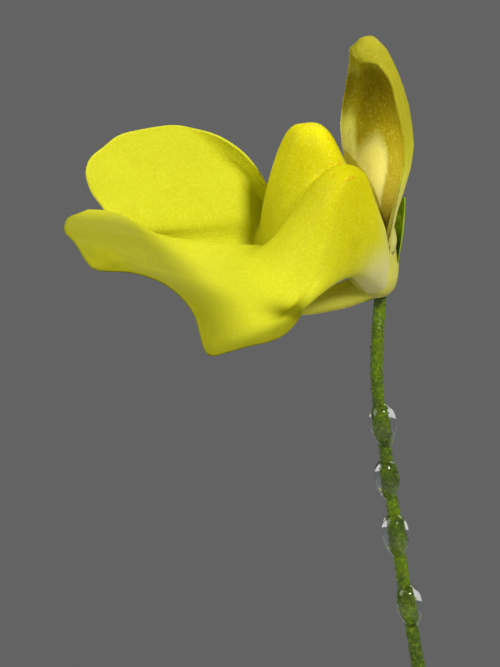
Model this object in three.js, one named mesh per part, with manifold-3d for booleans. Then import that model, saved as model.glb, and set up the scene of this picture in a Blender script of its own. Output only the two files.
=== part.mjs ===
// A small terrestrial bladderwort, Utricularia flaccida, in flower, in a plain square nursery pot.
// Millimetres, +Z up, origin at the middle of the pot's foot. The flowers are yellow and two-lipped:
// a broad lower lip with three lobes and a two-humped palate, and an upright, hooded upper lip.

import * as THREE from 'three';
import { mergeVertices } from 'three/addons/utils/BufferGeometryUtils.js';
import Module from 'manifold-3d';

const wasm = await Module();
wasm.setup();

// Pot
const POT_HEIGHT = 50;
const RIM_HALF = 28;
const RIM_CORNER = 8;
const FOOT_HALF = 20;
const FOOT_CORNER = 6;
const WALL = 1.2;
const BAND_HEIGHT = 6;
const BAND_STEP = 1.5;
const EDGE_ROUND = 0.5;
const FOOT_RECESS = 1.6;
const FOOT_RING = 3;
const FLOOR = 1.6;
const DRAIN_RADIUS = 2;
const DRAIN_SPREAD = 9;
const NOTCH_HALF = 2;
const CORNER_STEPS = 4;

// Soil
const SOIL_TOP = 44;
const GAP = 0.3;
const SOIL_RINGS = 10;
const SOIL_SIDE_STEPS = 4;
const RELIEF = 0.45;
const HOLE_DEPTH = 4;

// Sheet thickness of petals, sepals and leaves
const BLADE = 0.6;

// Flower, in its own frame: x forward along the lower lip, y to the flower's left, z up, with the
// origin at the mouth of the cup. Margins of the lips are given as points of the spread sheet.
const RING = { forward: 0.45, radius: 0.45, up: 0.34 };
const CUP = { forward: 0.45, up: -0.12, length: 0.65, width: 0.6, height: 0.66 };
const LEFT_MARGIN = [
  [10.5, 0], [10.45, 0.6], [10.15, 1.3], [9.5, 1.85], [8.75, 2.15], [8.3, 2.6], [8.05, 3.1], [7.98, 3.75],
  [7.88, 4.22], [7.3, 4.2], [6.6, 4], [5.9, 3.85], [5, 3.52], [4.3, 2.85], [3.7, 2.4], [3.1, 2.1],
  [2.5, 1.95], [2, 1.85], [1.5, 1.65], [1.1, 1.35], [0.8, 1.05], [0.6, 0.85],
];
const RIGHT_MARGIN = [
  [10.5, 0], [10.4, 0.4], [10.1, 0.8], [9.5, 1.15], [8.95, 1.6], [8.6, 2.1], [8.45, 2.65], [8.5, 3.2],
  [8.75, 3.75], [8.8, 4.25], [8.55, 4.75], [8, 5.08], [7.3, 5.34], [6.3, 5.42], [5.4, 5.28], [4.6, 4.95],
  [4, 4.65], [3.4, 4.1], [2.9, 3.45], [2.4, 2.6], [1.9, 1.8], [1.2, 1.15], [0.6, 0.85],
];
// How high the margin lies where the palate's flank comes down to it: forward, height
const MARGIN_LIFT = [
  [0.6, 1.2], [1.1, 1.1], [1.6, 0.9], [2.05, 0.6], [3.7, 0.6], [4.35, 0.4], [5, 0.12], [6, 0], [12, 0],
];
// Upper lip by length along it: the length, then how high and how far forward its middle lies, how
// high its edges, how far forward its left and its right edge, and its half width
const HOOD_LEVELS = [
  [0.34, 0.34, 0, 0.34, 0.42, 0.42, 0.45], [0.95, 0.95, 0.06, 0.95, 0.56, 0.6, 0.75],
  [1.5, 1.5, 0.18, 1.5, 0.72, 0.72, 0.86], [2.15, 2.15, 0.2, 2.15, 0.8, 1.05, 1.05],
  [2.91, 2.91, 0.16, 2.91, 0.88, 1.3, 1.22], [3.65, 3.65, 0.16, 3.65, 0.94, 1.4, 1.36],
  [4.35, 4.33, 0.2, 4.33, 1, 1.45, 1.42], [5, 4.96, 0.32, 4.96, 1.08, 1.52, 1.38],
  [5.55, 5.48, 0.44, 5.48, 1.17, 1.6, 1.26], [6.1, 6.02, 0.64, 6.02, 1.31, 1.68, 1.08],
  [6.6, 6.48, 0.86, 6.44, 1.43, 1.8, 0.93], [7, 6.82, 1.06, 6.66, 1.52, 1.86, 0.82],
  [7.4, 7.14, 1.28, 6.82, 1.61, 1.88, 0.72], [7.8, 7.38, 1.55, 6.92, 1.72, 1.92, 0.6],
  [8.2, 7.4, 1.84, 6.95, 1.88, 1.97, 0.4], [8.4, 7.36, 2, 7, 1.98, 2, 0.1],
];
const HOOD_LEAN = 1.4;
const HOOD_TIP = 8.45;
const LOWER_SHARE = 0.56;
const HUMPS = {
  left: { aside: 0.92, height: 3.48, front: 1.22, outer: 1.1, steepness: 2.2 },
  right: { aside: -1.2, height: 3.85, front: 1.15, outer: 0.7, steepness: 8 },
  forward: 2.37,
  back: 1.42,
  inner: 1.18,
  backSteepness: 2.7,
  sideSteepness: 3,
};
const LIP_RISE = { slope: 0.225, from: 3.6, softness: 2.2 };
const LIP_BEND = { start: 1.7, leftWidth: 1.4, rightWidth: 0.7, inner: 0.5 };
const HALF_DEPTH = 0.69;
const SPUR = [[0.3, -0.4], [1.3, -0.72], [2.4, -0.9], [3.4, -0.95]];
const SPUR_RADII = [0.42, 0.38, 0.3, 0.18];

// Calyx, in the flower's frame: forward, up and half width along the middle of each lobe
const UPPER_SEPAL = [[0.1, -1.38, 0.24], [-0.28, -1.15, 0.36], [-0.5, -0.4, 0.42], [-0.47, 0.5, 0.44],
  [-0.42, 1.3, 0.42], [-0.36, 1.95, 0.26], [-0.32, 2.3, 0.12]];
const LOWER_SEPAL = [[-0.1, -1.33, 0.22], [0.4, -1.34, 0.36], [0.85, -1.42, 0.36], [1.25, -1.48, 0.12]];
const PEDICEL_TOP = [0.1, -1.05];

// Stems
const STEM_TOP_RADIUS = 0.21;
const STEM_FOOT_RADIUS = 0.36;
const STEM_SIDES = 5;
const BEAD = { radius: 0.4, half: 0.68 };
const BEADS_BELOW_FLOWER = [4.7, 6.4, 8.1, 10.2];
const BEAD_TRACE = 400;
// How far the photographed stem stands aside from its flower and below it
const STEM_BENDS = [[-0.28, -1.9], [-0.31, -2.8], [-0.29, -3.6], [-0.11, -5], [0.17, -7.1],
  [0.46, -9.2], [0.8, -11.2], [1.6, -16.5], [2.6, -26], [3.4, -42]];
const CAPSULE_RADIUS = 0.95;

// Every flowering stem: foot on the soil, place, heading, roll and size of its flower, and how many
// degrees the side lobes of the lower lip bend up (+) or down (-)
const PLANTS = [
  { foot: [7, 1.2], flower: [3, -4, 106], heading: 207, roll: 16, size: 1, left: -20, right: 58 },
  { foot: [-8, 0.6], flower: [-16.5, 11, 97], heading: 150, roll: -4, size: 0.86, left: -18, right: -22 },
  { foot: [1, -8], flower: [19.5, -13, 87], heading: -40, roll: 5, size: 0.82, left: -12, right: -20 },
  { foot: [-0.6, 9], flower: [14.5, 18.5, 101], heading: 70, roll: 0, size: 0.9, left: 10, right: -14 },
  { foot: [-14, -0.5], flower: [-18, -14, 80], heading: 235, roll: -6, size: 0.78, left: 16, right: 12 },
];
const BUD_STEM = { foot: [0.2, -15.5], top: [2.6, -20.5, 72] };

// Creeping runners with their leaves and bladders, one in each quarter of the pot
const RUNNER = { radius: 0.3, reach: 19.5, inner: 4.6, leaves: 17, traps: 3, steps: 18, sides: 4 };
const LEAF = { length: 8.5, width: 1.15, lean: 0.55 };
const CORRIDOR = 1.6;
const TRAP_RADIUS = 0.6;

// Colours, roughness
const COLOURS = {
  pot: [0x2b2c2d, 0.55],
  soil: [0x4a3526, 0.95],
  runner: [0x4d7a24, 0.6],
  stem: [0x5d7013, 0.55],
  corolla: [0xe3dc2c, 0.5],
};

// Helpers for closed bodies

function paint(name, geometry, colour) {
  const [color, roughness] = COLOURS[colour];
  const mesh = new THREE.Mesh(geometry, new THREE.MeshStandardMaterial({ color, roughness, metalness: 0 }));
  mesh.name = name;
  return mesh;
}

function closedBody(points, faces) {
  const geometry = new THREE.BufferGeometry();
  geometry.setAttribute('position', new THREE.Float32BufferAttribute(points.flatMap((p) => [p.x, p.y, p.z]), 3));
  geometry.setIndex(faces.flat());
  geometry.computeVertexNormals();
  return geometry;
}

// A body through rings of points, each ring running anticlockwise seen from the far end of the body
function skin(rings) {
  const sides = rings[0].length;
  const points = rings.flat();
  const faces = [];
  for (let row = 0; row < rings.length - 1; row += 1) {
    for (let side = 0; side < sides; side += 1) {
      const a = row * sides + side;
      const b = row * sides + ((side + 1) % sides);
      faces.push([a, b, b + sides], [a, b + sides, a + sides]);
    }
  }
  const last = points.length - sides;
  for (let side = 1; side < sides - 1; side += 1) {
    faces.push([0, side + 1, side], [last, last + side, last + side + 1]);
  }
  return closedBody(points, faces);
}

// A plate between two grids of points alike in size, the upper one with its rows to the left of its
// columns seen from outside
function plate(upper, lower) {
  const rows = upper.length;
  const columns = upper[0].length;
  const points = [...upper.flat(), ...lower.flat()];
  const below = rows * columns;
  const at = (row, column) => row * columns + column;
  const faces = [];
  for (let row = 0; row < rows - 1; row += 1) {
    for (let column = 0; column < columns - 1; column += 1) {
      const corners = [at(row, column), at(row, column + 1), at(row + 1, column + 1), at(row + 1, column)];
      const [a, b, c, d] = corners;
      faces.push([a, c, b], [a, d, c]);
      faces.push([a + below, b + below, c + below], [a + below, c + below, d + below]);
    }
  }
  const wall = (a, b) => faces.push([a, b, b + below], [a, b + below, a + below]);
  for (let column = 0; column < columns - 1; column += 1) {
    wall(at(0, column), at(0, column + 1));
    wall(at(rows - 1, column + 1), at(rows - 1, column));
  }
  for (let row = 0; row < rows - 1; row += 1) {
    wall(at(row + 1, 0), at(row, 0));
    wall(at(row, columns - 1), at(row + 1, columns - 1));
  }
  return closedBody(points, faces);
}

function toSolid(geometry) {
  const bare = geometry.clone();
  bare.deleteAttribute('normal');
  bare.deleteAttribute('uv');
  const merged = mergeVertices(bare, 1e-5);
  return new wasm.Manifold(new wasm.Mesh({
    numProp: 3,
    vertProperties: new Float32Array(merged.attributes.position.array),
    triVerts: new Uint32Array(merged.index.array),
  }));
}

function toGeometry(solid) {
  const mesh = solid.getMesh();
  const geometry = new THREE.BufferGeometry();
  geometry.setAttribute('position', new THREE.BufferAttribute(new Float32Array(mesh.vertProperties), 3));
  geometry.setIndex(new THREE.BufferAttribute(new Uint32Array(mesh.triVerts), 1));
  geometry.computeVertexNormals();
  return geometry;
}

// One body from all the parts; only its outer shell is kept, so hollows that the join seals are filled
function fuse(geometries) {
  const whole = geometries.map(toSolid).reduce((sum, part) => sum.add(part));
  return toGeometry(whole.decompose().reduce((best, shell) => (shell.volume() > best.volume() ? shell : best)));
}

function seeded(seed) {
  let state = seed;
  return () => {
    state = (state * 1664525 + 1013904223) % 4294967296;
    return state / 4294967296;
  };
}

function smooth(low, high, value) {
  return THREE.MathUtils.smoothstep(value, low, high);
}

// A round rod along points, with a radius at each one
function rod(points, radii, sides, steps = points.length * 2) {
  const curve = new THREE.CatmullRomCurve3(points);
  const widths = new THREE.SplineCurve(radii.map((radius, index) => new THREE.Vector2(index, radius)));
  const frames = curve.computeFrenetFrames(steps, false);
  const rings = [];
  for (let step = 0; step <= steps; step += 1) {
    const at = curve.getPointAt(step / steps);
    const share = curve.getUtoTmapping(step / steps);
    const radius = widths.getPoint(share).y;
    const ring = [];
    for (let side = 0; side < sides; side += 1) {
      const turn = (side / sides) * 2 * Math.PI;
      ring.push(at.clone()
        .addScaledVector(frames.normals[step], Math.cos(turn) * radius)
        .addScaledVector(frames.binormals[step], Math.sin(turn) * radius));
    }
    rings.push(ring);
  }
  return skin(rings);
}

function ball(centre, width, depth, height, sides, rows) {
  const geometry = new THREE.SphereGeometry(1, sides, rows);
  geometry.rotateX(Math.PI / 2);
  geometry.scale(width, depth, height);
  geometry.translate(centre.x, centre.y, centre.z);
  return geometry;
}

// A blade along a line of points, each with its half width: flat on one face, keeled on the other
function blade(line, halves, across) {
  const face = line[line.length - 1].clone().sub(line[0]).cross(across).normalize();
  return skin(line.map((point, index) => [
    point.clone().addScaledVector(across, halves[index]),
    point.clone().addScaledVector(face, BLADE),
    point.clone().addScaledVector(across, -halves[index]),
  ]));
}

// Pot

// A square ring with round corners, and points along its straight sides where it has sideSteps
function roundedSquare(half, corner, height, sideSteps = 1) {
  const ring = [];
  const zAxis = new THREE.Vector3(0, 0, 1);
  for (let quarter = 0; quarter < 4; quarter += 1) {
    for (let step = 0; step <= CORNER_STEPS; step += 1) {
      const turn = (step / CORNER_STEPS) * (Math.PI / 2);
      const x = half - corner + Math.cos(turn) * corner;
      const y = half - corner + Math.sin(turn) * corner;
      ring.push(new THREE.Vector3(x, y, height).applyAxisAngle(zAxis, quarter * (Math.PI / 2)));
    }
    for (let step = 1; step < sideSteps; step += 1) {
      const x = (half - corner) * (1 - (2 * step) / sideSteps);
      ring.push(new THREE.Vector3(x, half, height).applyAxisAngle(zAxis, quarter * (Math.PI / 2)));
    }
  }
  return ring;
}

function wallHalf(height) {
  return FOOT_HALF + (RIM_HALF - BAND_STEP - FOOT_HALF) * (height / (POT_HEIGHT - BAND_HEIGHT));
}

function wallCorner(height) {
  return FOOT_CORNER + (RIM_CORNER - FOOT_CORNER) * (height / POT_HEIGHT);
}

function drainHole(x, y) {
  const hole = new THREE.CylinderGeometry(DRAIN_RADIUS, DRAIN_RADIUS, 4 * FLOOR, 16);
  hole.rotateX(Math.PI / 2);
  hole.translate(x, y, FOOT_RECESS + FLOOR / 2);
  return hole;
}

function pot() {
  const bandFoot = POT_HEIGHT - BAND_HEIGHT;
  const outer = skin([
    roundedSquare(FOOT_HALF, FOOT_CORNER, 0),
    roundedSquare(wallHalf(bandFoot), wallCorner(bandFoot), bandFoot),
    roundedSquare(RIM_HALF, RIM_CORNER, bandFoot + EDGE_ROUND),
    roundedSquare(RIM_HALF, RIM_CORNER, POT_HEIGHT - EDGE_ROUND),
    roundedSquare(RIM_HALF - EDGE_ROUND, RIM_CORNER - EDGE_ROUND, POT_HEIGHT),
  ]);
  const floorTop = FOOT_RECESS + FLOOR;
  const inner = skin([
    roundedSquare(wallHalf(floorTop) - WALL, wallCorner(floorTop) - WALL, floorTop),
    roundedSquare(wallHalf(POT_HEIGHT) - WALL, wallCorner(POT_HEIGHT) - WALL, POT_HEIGHT + 1),
  ]);
  const recessHalf = FOOT_HALF - FOOT_RING;
  const recess = skin([
    roundedSquare(recessHalf, FOOT_CORNER - FOOT_RING / 2, -1),
    roundedSquare(recessHalf, FOOT_CORNER - FOOT_RING / 2, FOOT_RECESS),
  ]);
  const notchAlongX = new THREE.BoxGeometry(4 * RIM_HALF, 2 * NOTCH_HALF, 2 * FOOT_RECESS);
  const notchAlongY = new THREE.BoxGeometry(2 * NOTCH_HALF, 4 * RIM_HALF, 2 * FOOT_RECESS);
  const cuts = [inner, recess, notchAlongX, notchAlongY, drainHole(0, 0)];
  for (let corner = 0; corner < 4; corner += 1) {
    const turn = (corner + 0.5) * (Math.PI / 2);
    cuts.push(drainHole(Math.cos(turn) * DRAIN_SPREAD * Math.SQRT2, Math.sin(turn) * DRAIN_SPREAD * Math.SQRT2));
  }
  return toGeometry(cuts.reduce((whole, cut) => whole.subtract(toSolid(cut)), toSolid(outer)));
}

// Soil

function soilHeight(x, y) {
  const waves = Math.sin(x * 0.42 + 1.3) * Math.cos(y * 0.37 - 0.4) + 0.6 * Math.sin(x * 0.23 - y * 0.61);
  const edge = Math.max(Math.abs(x), Math.abs(y)) / wallHalf(SOIL_TOP);
  return SOIL_TOP + RELIEF * waves - 0.5 * smooth(0.8, 1, edge);
}

function soil(holes) {
  const foot = FOOT_RECESS + FLOOR + GAP;
  const ringAt = (height) => roundedSquare(
    wallHalf(height) - WALL - GAP, wallCorner(height) - WALL - GAP, height, SOIL_SIDE_STEPS,
  );
  const rings = [ringAt(foot)];
  const edge = ringAt(SOIL_TOP);
  for (let row = 0; row < SOIL_RINGS; row += 1) {
    const share = 1 - row / SOIL_RINGS;
    rings.push(edge.map((point) => {
      const x = point.x * share;
      const y = point.y * share;
      return new THREE.Vector3(x, y, soilHeight(x, y));
    }));
  }
  const whole = toSolid(skin(rings));
  return toGeometry(holes.reduce((rest, hole) => rest.subtract(toSolid(hole)), whole));
}

function stemHole([x, y]) {
  const radius = STEM_FOOT_RADIUS + GAP;
  const hole = new THREE.CylinderGeometry(radius, radius, 2 * HOLE_DEPTH, 10);
  hole.rotateX(Math.PI / 2);
  hole.translate(x, y, soilHeight(x, y));
  return hole;
}

// Flower

// Bends what lies beyond `start` on one side by an angle, without changing its length
function bend(side, up, start, width, angle) {
  const past = Math.max(side - start, 0);
  const inner = Math.min(past, width);
  const curl = angle / width;
  const turned = curl * inner;
  const run = start + Math.sin(turned) / curl + (past - inner) * Math.cos(angle);
  const rise = (1 - Math.cos(turned)) / curl + (past - inner) * Math.sin(angle);
  return [(side > start ? run : side) - up * Math.sin(turned), up * Math.cos(turned) + rise];
}

function valueAt(table, column, at) {
  const above = table.findIndex((row) => row[0] > at);
  if (above < 1) return table[above === 0 ? 0 : table.length - 1][column];
  const [low, high] = [table[above - 1], table[above]];
  return THREE.MathUtils.mapLinear(at, low[0], high[0], low[column], high[column]);
}

// How high the lower lip lies before its sides are bent, without the palate
function lipLevel(forward, side, onLeft) {
  const { slope, from, softness } = LIP_RISE;
  const rise = (slope / softness) * Math.log1p(Math.exp((forward - from) * softness));
  const arch = 0.34 * smooth(6.2, 8.4, forward) * (1 - smooth(2.2, 3.8, side));
  if (onLeft) {
    const tip = 0.4 * smooth(9.3, 10.3, forward) * smooth(0.3, 1.3, side);
    const corner = 0.2 * smooth(7.2, 7.9, forward) * smooth(3.4, 4.4, side);
    return rise + arch - tip - corner;
  }
  const ridge = 0.27 * smooth(7, 8.8, forward) * smooth(0, 1.3, side) * (1 - smooth(1.7, 2.4, side));
  const groove = 0.55 * Math.exp(-(((side - 1.95) / 0.36) ** 2)) * smooth(2.4, 3.8, forward);
  return rise + arch + ridge - groove;
}

// Height of one of the palate's two humps: steep in front, gentler towards the mouth
function hump(forward, side, { aside, height, front, outer, steepness }) {
  const ahead = forward - HUMPS.forward;
  const outward = (side - aside) * Math.sign(aside);
  const [length, power] = ahead > 0 ? [front, steepness] : [HUMPS.back, HUMPS.backSteepness];
  const width = outward > 0 ? outer : HUMPS.inner;
  const depth = (Math.abs(ahead) / length) ** power + (Math.abs(outward) / width) ** HUMPS.sideSteepness;
  return height * Math.exp(-HALF_DEPTH * depth);
}

function palate(forward, side) {
  return Math.cbrt(hump(forward, side, HUMPS.left) ** 3 + hump(forward, side, HUMPS.right) ** 3);
}

// A point of the lower lip: `turn` runs round the mouth from the middle lobe, `share` from the mouth
// out to the margin; the underside is level and lies one thickness lower
function lowerLip(turn, share, margin, angles, underside) {
  const onLeft = turn >= 0;
  const sign = onLeft ? 1 : -1;
  const edge = margin[onLeft ? 'left' : 'right'].getPoint(Math.abs(turn) / (LOWER_SHARE * Math.PI));
  const ringForward = RING.forward + RING.radius * Math.cos(turn);
  const ringSide = RING.radius * Math.abs(Math.sin(turn));
  const grown = share ** 1.1;
  const forward = ringForward + (edge.x - ringForward) * grown;
  const side = ringSide + (edge.y - ringSide) * grown;
  const clear = smooth(0, 0.5, Math.hypot(forward - RING.forward, side) - RING.radius);
  const outward = Math.max((share - 0.45) / 0.55, 0) ** 2.2 * smooth(0.3, 0.9, edge.y);
  const raised = underside ? 0 : palate(forward, side * sign) * (1 - outward);
  const level = lipLevel(forward, side, onLeft) + valueAt(MARGIN_LIFT, 1, edge.x) * outward;
  const up = (level + raised) * clear - (underside ? BLADE : 0);
  const inner = LIP_BEND.inner * (1 - smooth(2.2, 3.6, forward));
  const [across, height] = onLeft
    ? bend(side, up, LIP_BEND.start, LIP_BEND.leftWidth, THREE.MathUtils.degToRad(angles.left))
    : bend(side, up, LIP_BEND.start + inner, LIP_BEND.rightWidth, THREE.MathUtils.degToRad(angles.right));
  return new THREE.Vector3(forward, across * sign, height + RING.up);
}

// A point of the upper lip: `along` runs round its margin from the left corner of the mouth over the
// tip to the right corner; the inner face is a shallower gutter inside the outer one
function upperLip(along, share, margin, inside) {
  const onLeft = along <= 0.5;
  const fromCorner = 1 - Math.abs(along - 0.5) * 2;
  const edge = margin.getPoint(fromCorner);
  const turn = Math.PI * (LOWER_SHARE + (1 - LOWER_SHARE) * fromCorner);
  const ringSide = RING.radius * Math.sin(turn);
  const side = ringSide + (edge.x - ringSide) * share;
  const length = RING.up + (edge.y - RING.up) * share;
  const [up, back, edgeUp, leftForward, rightForward, half] = [1, 2, 3, 4, 5, 6].map(
    (column) => valueAt(HOOD_LEVELS, column, length),
  );
  const across = Math.min(side / half, 1) ** 3;
  const gutter = back + ((onLeft ? leftForward : rightForward) - back) * across;
  const ringForward = RING.forward + RING.radius * Math.cos(turn);
  const forward = ringForward + (gutter - ringForward) * smooth(0, 0.16, share);
  const height = up + (edgeUp - up) * across;
  const lean = HOOD_LEAN * smooth(5.6, 8, length);
  const step = inside ? BLADE * (1 - 0.8 * across) : 0;
  const narrowed = inside ? side * Math.max(1 - BLADE / half, 0.2) : side;
  return new THREE.Vector3(
    forward + step * Math.cos(lean), narrowed * (onLeft ? 1 : -1), height - step * Math.sin(lean),
  );
}

function spread(count, from, to) {
  return Array.from({ length: count + 1 }, (_, index) => from + (to - from) * (index / count));
}

function corolla({ left, right, size }, columns, shares) {
  const margins = {
    left: new THREE.SplineCurve(LEFT_MARGIN.map(([x, y]) => new THREE.Vector2(x, y))),
    right: new THREE.SplineCurve(RIGHT_MARGIN.map(([x, y]) => new THREE.Vector2(x, y))),
  };
  const edges = HOOD_LEVELS.slice(1).map((row) => new THREE.Vector2(row[6], row[0]));
  const hood = new THREE.SplineCurve([...edges, new THREE.Vector2(0, HOOD_TIP)]);
  const turns = spread(columns, -LOWER_SHARE * Math.PI, LOWER_SHARE * Math.PI);
  const lower = (underside) => shares.map((share) => turns.map(
    (turn) => lowerLip(turn, share, margins, { left, right }, underside),
  ));
  const alongs = spread(Math.max(6, Math.round(columns * 0.4)), 0, 1);
  const rises = spread(Math.max(4, Math.round(columns * 0.35)), 0, 1);
  const upper = (inside) => rises.map((share) => alongs.map((along) => upperLip(along, share, hood, inside)));
  const cup = ball(new THREE.Vector3(CUP.forward, 0, CUP.up), CUP.length, CUP.width, CUP.height, 8, 5);
  const spur = rod(SPUR.map(([x, z]) => new THREE.Vector3(x, 0, z)), SPUR_RADII, 5, 4);
  const whole = fuse([cup, plate(lower(false), lower(true)), plate(upper(true), upper(false)), spur]);
  whole.scale(size, size, size);
  return whole;
}

function facing({ heading, roll }) {
  const toRadians = THREE.MathUtils.degToRad;
  return new THREE.Euler(-toRadians(roll), 0, toRadians(heading), 'ZYX');
}

// Flowering stem with its calyx

function inFlower(plant, forward, side, up) {
  const point = new THREE.Vector3(forward, side, up).multiplyScalar(plant.size);
  return point.applyEuler(facing(plant)).add(new THREE.Vector3(...plant.flower));
}

// A lobe of the calyx, keeled on the side away from the flower
function sepal(plant, outline, leftOrRight) {
  const across = new THREE.Vector3(0, leftOrRight, 0).applyEuler(facing(plant));
  const line = outline.map(([forward, up]) => inFlower(plant, forward, 0, up));
  return blade(line, outline.map(([, , half]) => half * plant.size), across);
}

function stemLine(plant, bends) {
  const [x, y] = plant.foot;
  const ground = soilHeight(x, y);
  const foot = new THREE.Vector3(x, y, ground - HOLE_DEPTH + GAP);
  const collar = new THREE.Vector3(x, y, ground + 2);
  const top = inFlower(plant, PEDICEL_TOP[0], 0, PEDICEL_TOP[1]);
  const neck = inFlower(plant, PEDICEL_TOP[0], 0, PEDICEL_TOP[1] - 1.2);
  return [foot, collar, ...bends, neck, top];
}

function swayingBends(plant, random) {
  const [x, y] = plant.foot;
  const [fx, fy, fz] = plant.flower;
  const ground = soilHeight(x, y);
  return [0.2, 0.4, 0.6, 0.8, 0.92].map((share) => new THREE.Vector3(
    x + (fx - x) * share ** 1.3 + (random() - 0.5) * 1.1,
    y + (fy - y) * share ** 1.3 + (random() - 0.5) * 1.1,
    ground + (fz - ground) * share,
  ));
}

function photographedBends(plant) {
  const [fx, fy, fz] = plant.flower;
  const [, y] = plant.foot;
  return [...STEM_BENDS].reverse().map(([dx, dz]) => {
    const share = Math.abs(dz) / (fz - SOIL_TOP);
    return new THREE.Vector3(fx + dx, fy + (y - fy) * share, fz + dz);
  });
}

function scale(curve, share, turn, length) {
  const at = curve.getPointAt(share);
  const out = new THREE.Vector3(Math.cos(turn), Math.sin(turn), 0);
  const across = new THREE.Vector3(-Math.sin(turn), Math.cos(turn), 0);
  const line = [0, 0.5, 1].map((step) => at.clone()
    .addScaledVector(out, length * (0.05 + 0.3 * step))
    .add(new THREE.Vector3(0, 0, length * step)));
  return blade(line, [0.3, 0.34, 0.1], across);
}

// A seed capsule or a bud on a short stalk of its own
function sideStalk(curve, share, turn, reach, radius) {
  const from = curve.getPointAt(share);
  const out = new THREE.Vector3(Math.cos(turn), Math.sin(turn), 0);
  const to = from.clone().addScaledVector(out, reach).add(new THREE.Vector3(0, 0, reach * 0.9));
  const middle = from.clone().lerp(to, 0.5).addScaledVector(out, reach * 0.12);
  return [
    rod([from, middle, to], [0.2, 0.2, 0.24], 5, 3),
    ball(to.clone().addScaledVector(out, radius * 0.3), radius, radius, radius * 1.15, 6, 4),
  ];
}

function scape(plant, bends, random) {
  const line = stemLine(plant, bends);
  const curve = new THREE.CatmullRomCurve3(line);
  const parts = [
    rod(line, [STEM_FOOT_RADIUS, STEM_TOP_RADIUS + 0.04, STEM_TOP_RADIUS], STEM_SIDES, 20),
    sepal(plant, UPPER_SEPAL, 1),
    sepal(plant, LOWER_SEPAL, -1),
    ball(inFlower(plant, 0, 0, -1.32), 0.34, 0.34, 0.3, 6, 4),
  ];
  for (const share of [0.16, 0.45]) {
    parts.push(scale(curve, share, random() * 2 * Math.PI, 1.8));
  }
  return { curve, parts };
}

// Beads of water round the stem below the flower
function beads(curve, plant) {
  const trace = curve.getPoints(BEAD_TRACE);
  return BEADS_BELOW_FLOWER.map((below) => {
    const height = plant.flower[2] - below;
    const at = trace.find((point) => point.z >= height);
    return ball(at, BEAD.radius, BEAD.radius, BEAD.half, 7, 5);
  });
}

function budStem(random) {
  const { foot, top } = BUD_STEM;
  const ground = soilHeight(...foot);
  const line = [0, 0.1, 0.4, 0.7, 1].map((share) => new THREE.Vector3(
    foot[0] + (top[0] - foot[0]) * share ** 1.5,
    foot[1] + (top[1] - foot[1]) * share ** 1.5,
    ground - HOLE_DEPTH + GAP + (top[2] - ground) * share,
  ));
  const curve = new THREE.CatmullRomCurve3(line);
  const parts = [rod(line, [STEM_FOOT_RADIUS, STEM_TOP_RADIUS], STEM_SIDES, 14)];
  parts.push(ball(line[4], 0.6, 0.6, 1, 6, 4));
  [0.86, 0.93].forEach((share, index) => {
    parts.push(...sideStalk(curve, share, index * 2.6 + 0.7, 1.1, 0.75 - 0.15 * index));
  });
  parts.push(scale(curve, 0.3, random() * 6, 1.8), scale(curve, 0.6, random() * 6, 1.8));
  return fuse(parts);
}

// Runner with its leaves and bladders

function runnerPoint(quarter, share, random) {
  const start = (quarter + 0.18) * (Math.PI / 2);
  const sweep = 0.64 * (Math.PI / 2);
  const wander = Math.sin(share * 9 + quarter * 1.7);
  const turn = start + sweep * (0.5 + 0.5 * Math.sin(share * 6.4 + quarter));
  const reach = RUNNER.inner + (RUNNER.reach - RUNNER.inner) * share + 0.5 * wander + random() * 0.2;
  const x = Math.cos(turn) * reach;
  const y = Math.sin(turn) * reach;
  return new THREE.Vector3(x, y, soilHeight(x, y) + 1.5 * GAP + RUNNER.radius);
}

// A leaf rises from the runner and leans outwards, away from the stems' corridors
function leaf(root, random) {
  const length = LEAF.length * (0.6 + 0.4 * random());
  const turn = random() * 2 * Math.PI;
  const lean = LEAF.lean * (0.3 + 0.7 * random());
  const reach = length * lean;
  const keep = (value, step) => {
    const far = value + step;
    const inside = Math.min(Math.max(Math.abs(far), CORRIDOR), FOOT_HALF + 3);
    return Math.sign(value) * inside - value;
  };
  const out = new THREE.Vector3(
    keep(root.x, Math.cos(turn) * reach), keep(root.y, Math.sin(turn) * reach), 0,
  );
  const across = new THREE.Vector3(-out.y, out.x, 0).normalize();
  const line = [0, 0.35, 0.7, 1].map((share) => root.clone()
    .addScaledVector(out, share ** 1.6)
    .add(new THREE.Vector3(0, 0, length * share * (1 - 0.18 * share))));
  return blade(line, [0.35, 0.5, 0.42, 0.1].map((part) => part * LEAF.width), across);
}

function runner(quarter) {
  const random = seeded(71 + quarter * 13);
  const points = spread(RUNNER.steps, 0, 1).map((share) => runnerPoint(quarter, share, random));
  const curve = new THREE.CatmullRomCurve3(points);
  const parts = [rod(points, [RUNNER.radius, RUNNER.radius], RUNNER.sides, RUNNER.steps)];
  for (let index = 0; index < RUNNER.leaves; index += 1) {
    parts.push(leaf(curve.getPointAt((index + 0.5) / RUNNER.leaves), random));
  }
  for (let index = 0; index < RUNNER.traps; index += 1) {
    const at = curve.getPointAt((index + 0.3) / RUNNER.traps);
    at.z += RUNNER.radius;
    parts.push(ball(at, TRAP_RADIUS, TRAP_RADIUS * 0.75, TRAP_RADIUS, 5, 3));
  }
  return fuse(parts);
}

// Assembly

const group = new THREE.Group();
group.add(paint('pot', pot(), 'pot'));
const feet = [...PLANTS.map((plant) => plant.foot), BUD_STEM.foot];
group.add(paint('soil', soil(feet.map(stemHole)), 'soil'));

for (let quarter = 0; quarter < 4; quarter += 1) {
  group.add(paint(`runner_${quarter + 1}`, runner(quarter), 'runner'));
}

const PHOTOGRAPHED = { columns: 26, shares: [0, 0.05, 0.1, 0.155, 0.21, 0.27, 0.33, 0.4, 0.5, 0.64, 0.82, 1] };
const OTHERS = { columns: 12, shares: [0, 0.12, 0.25, 0.42, 0.66, 1] };

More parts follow.
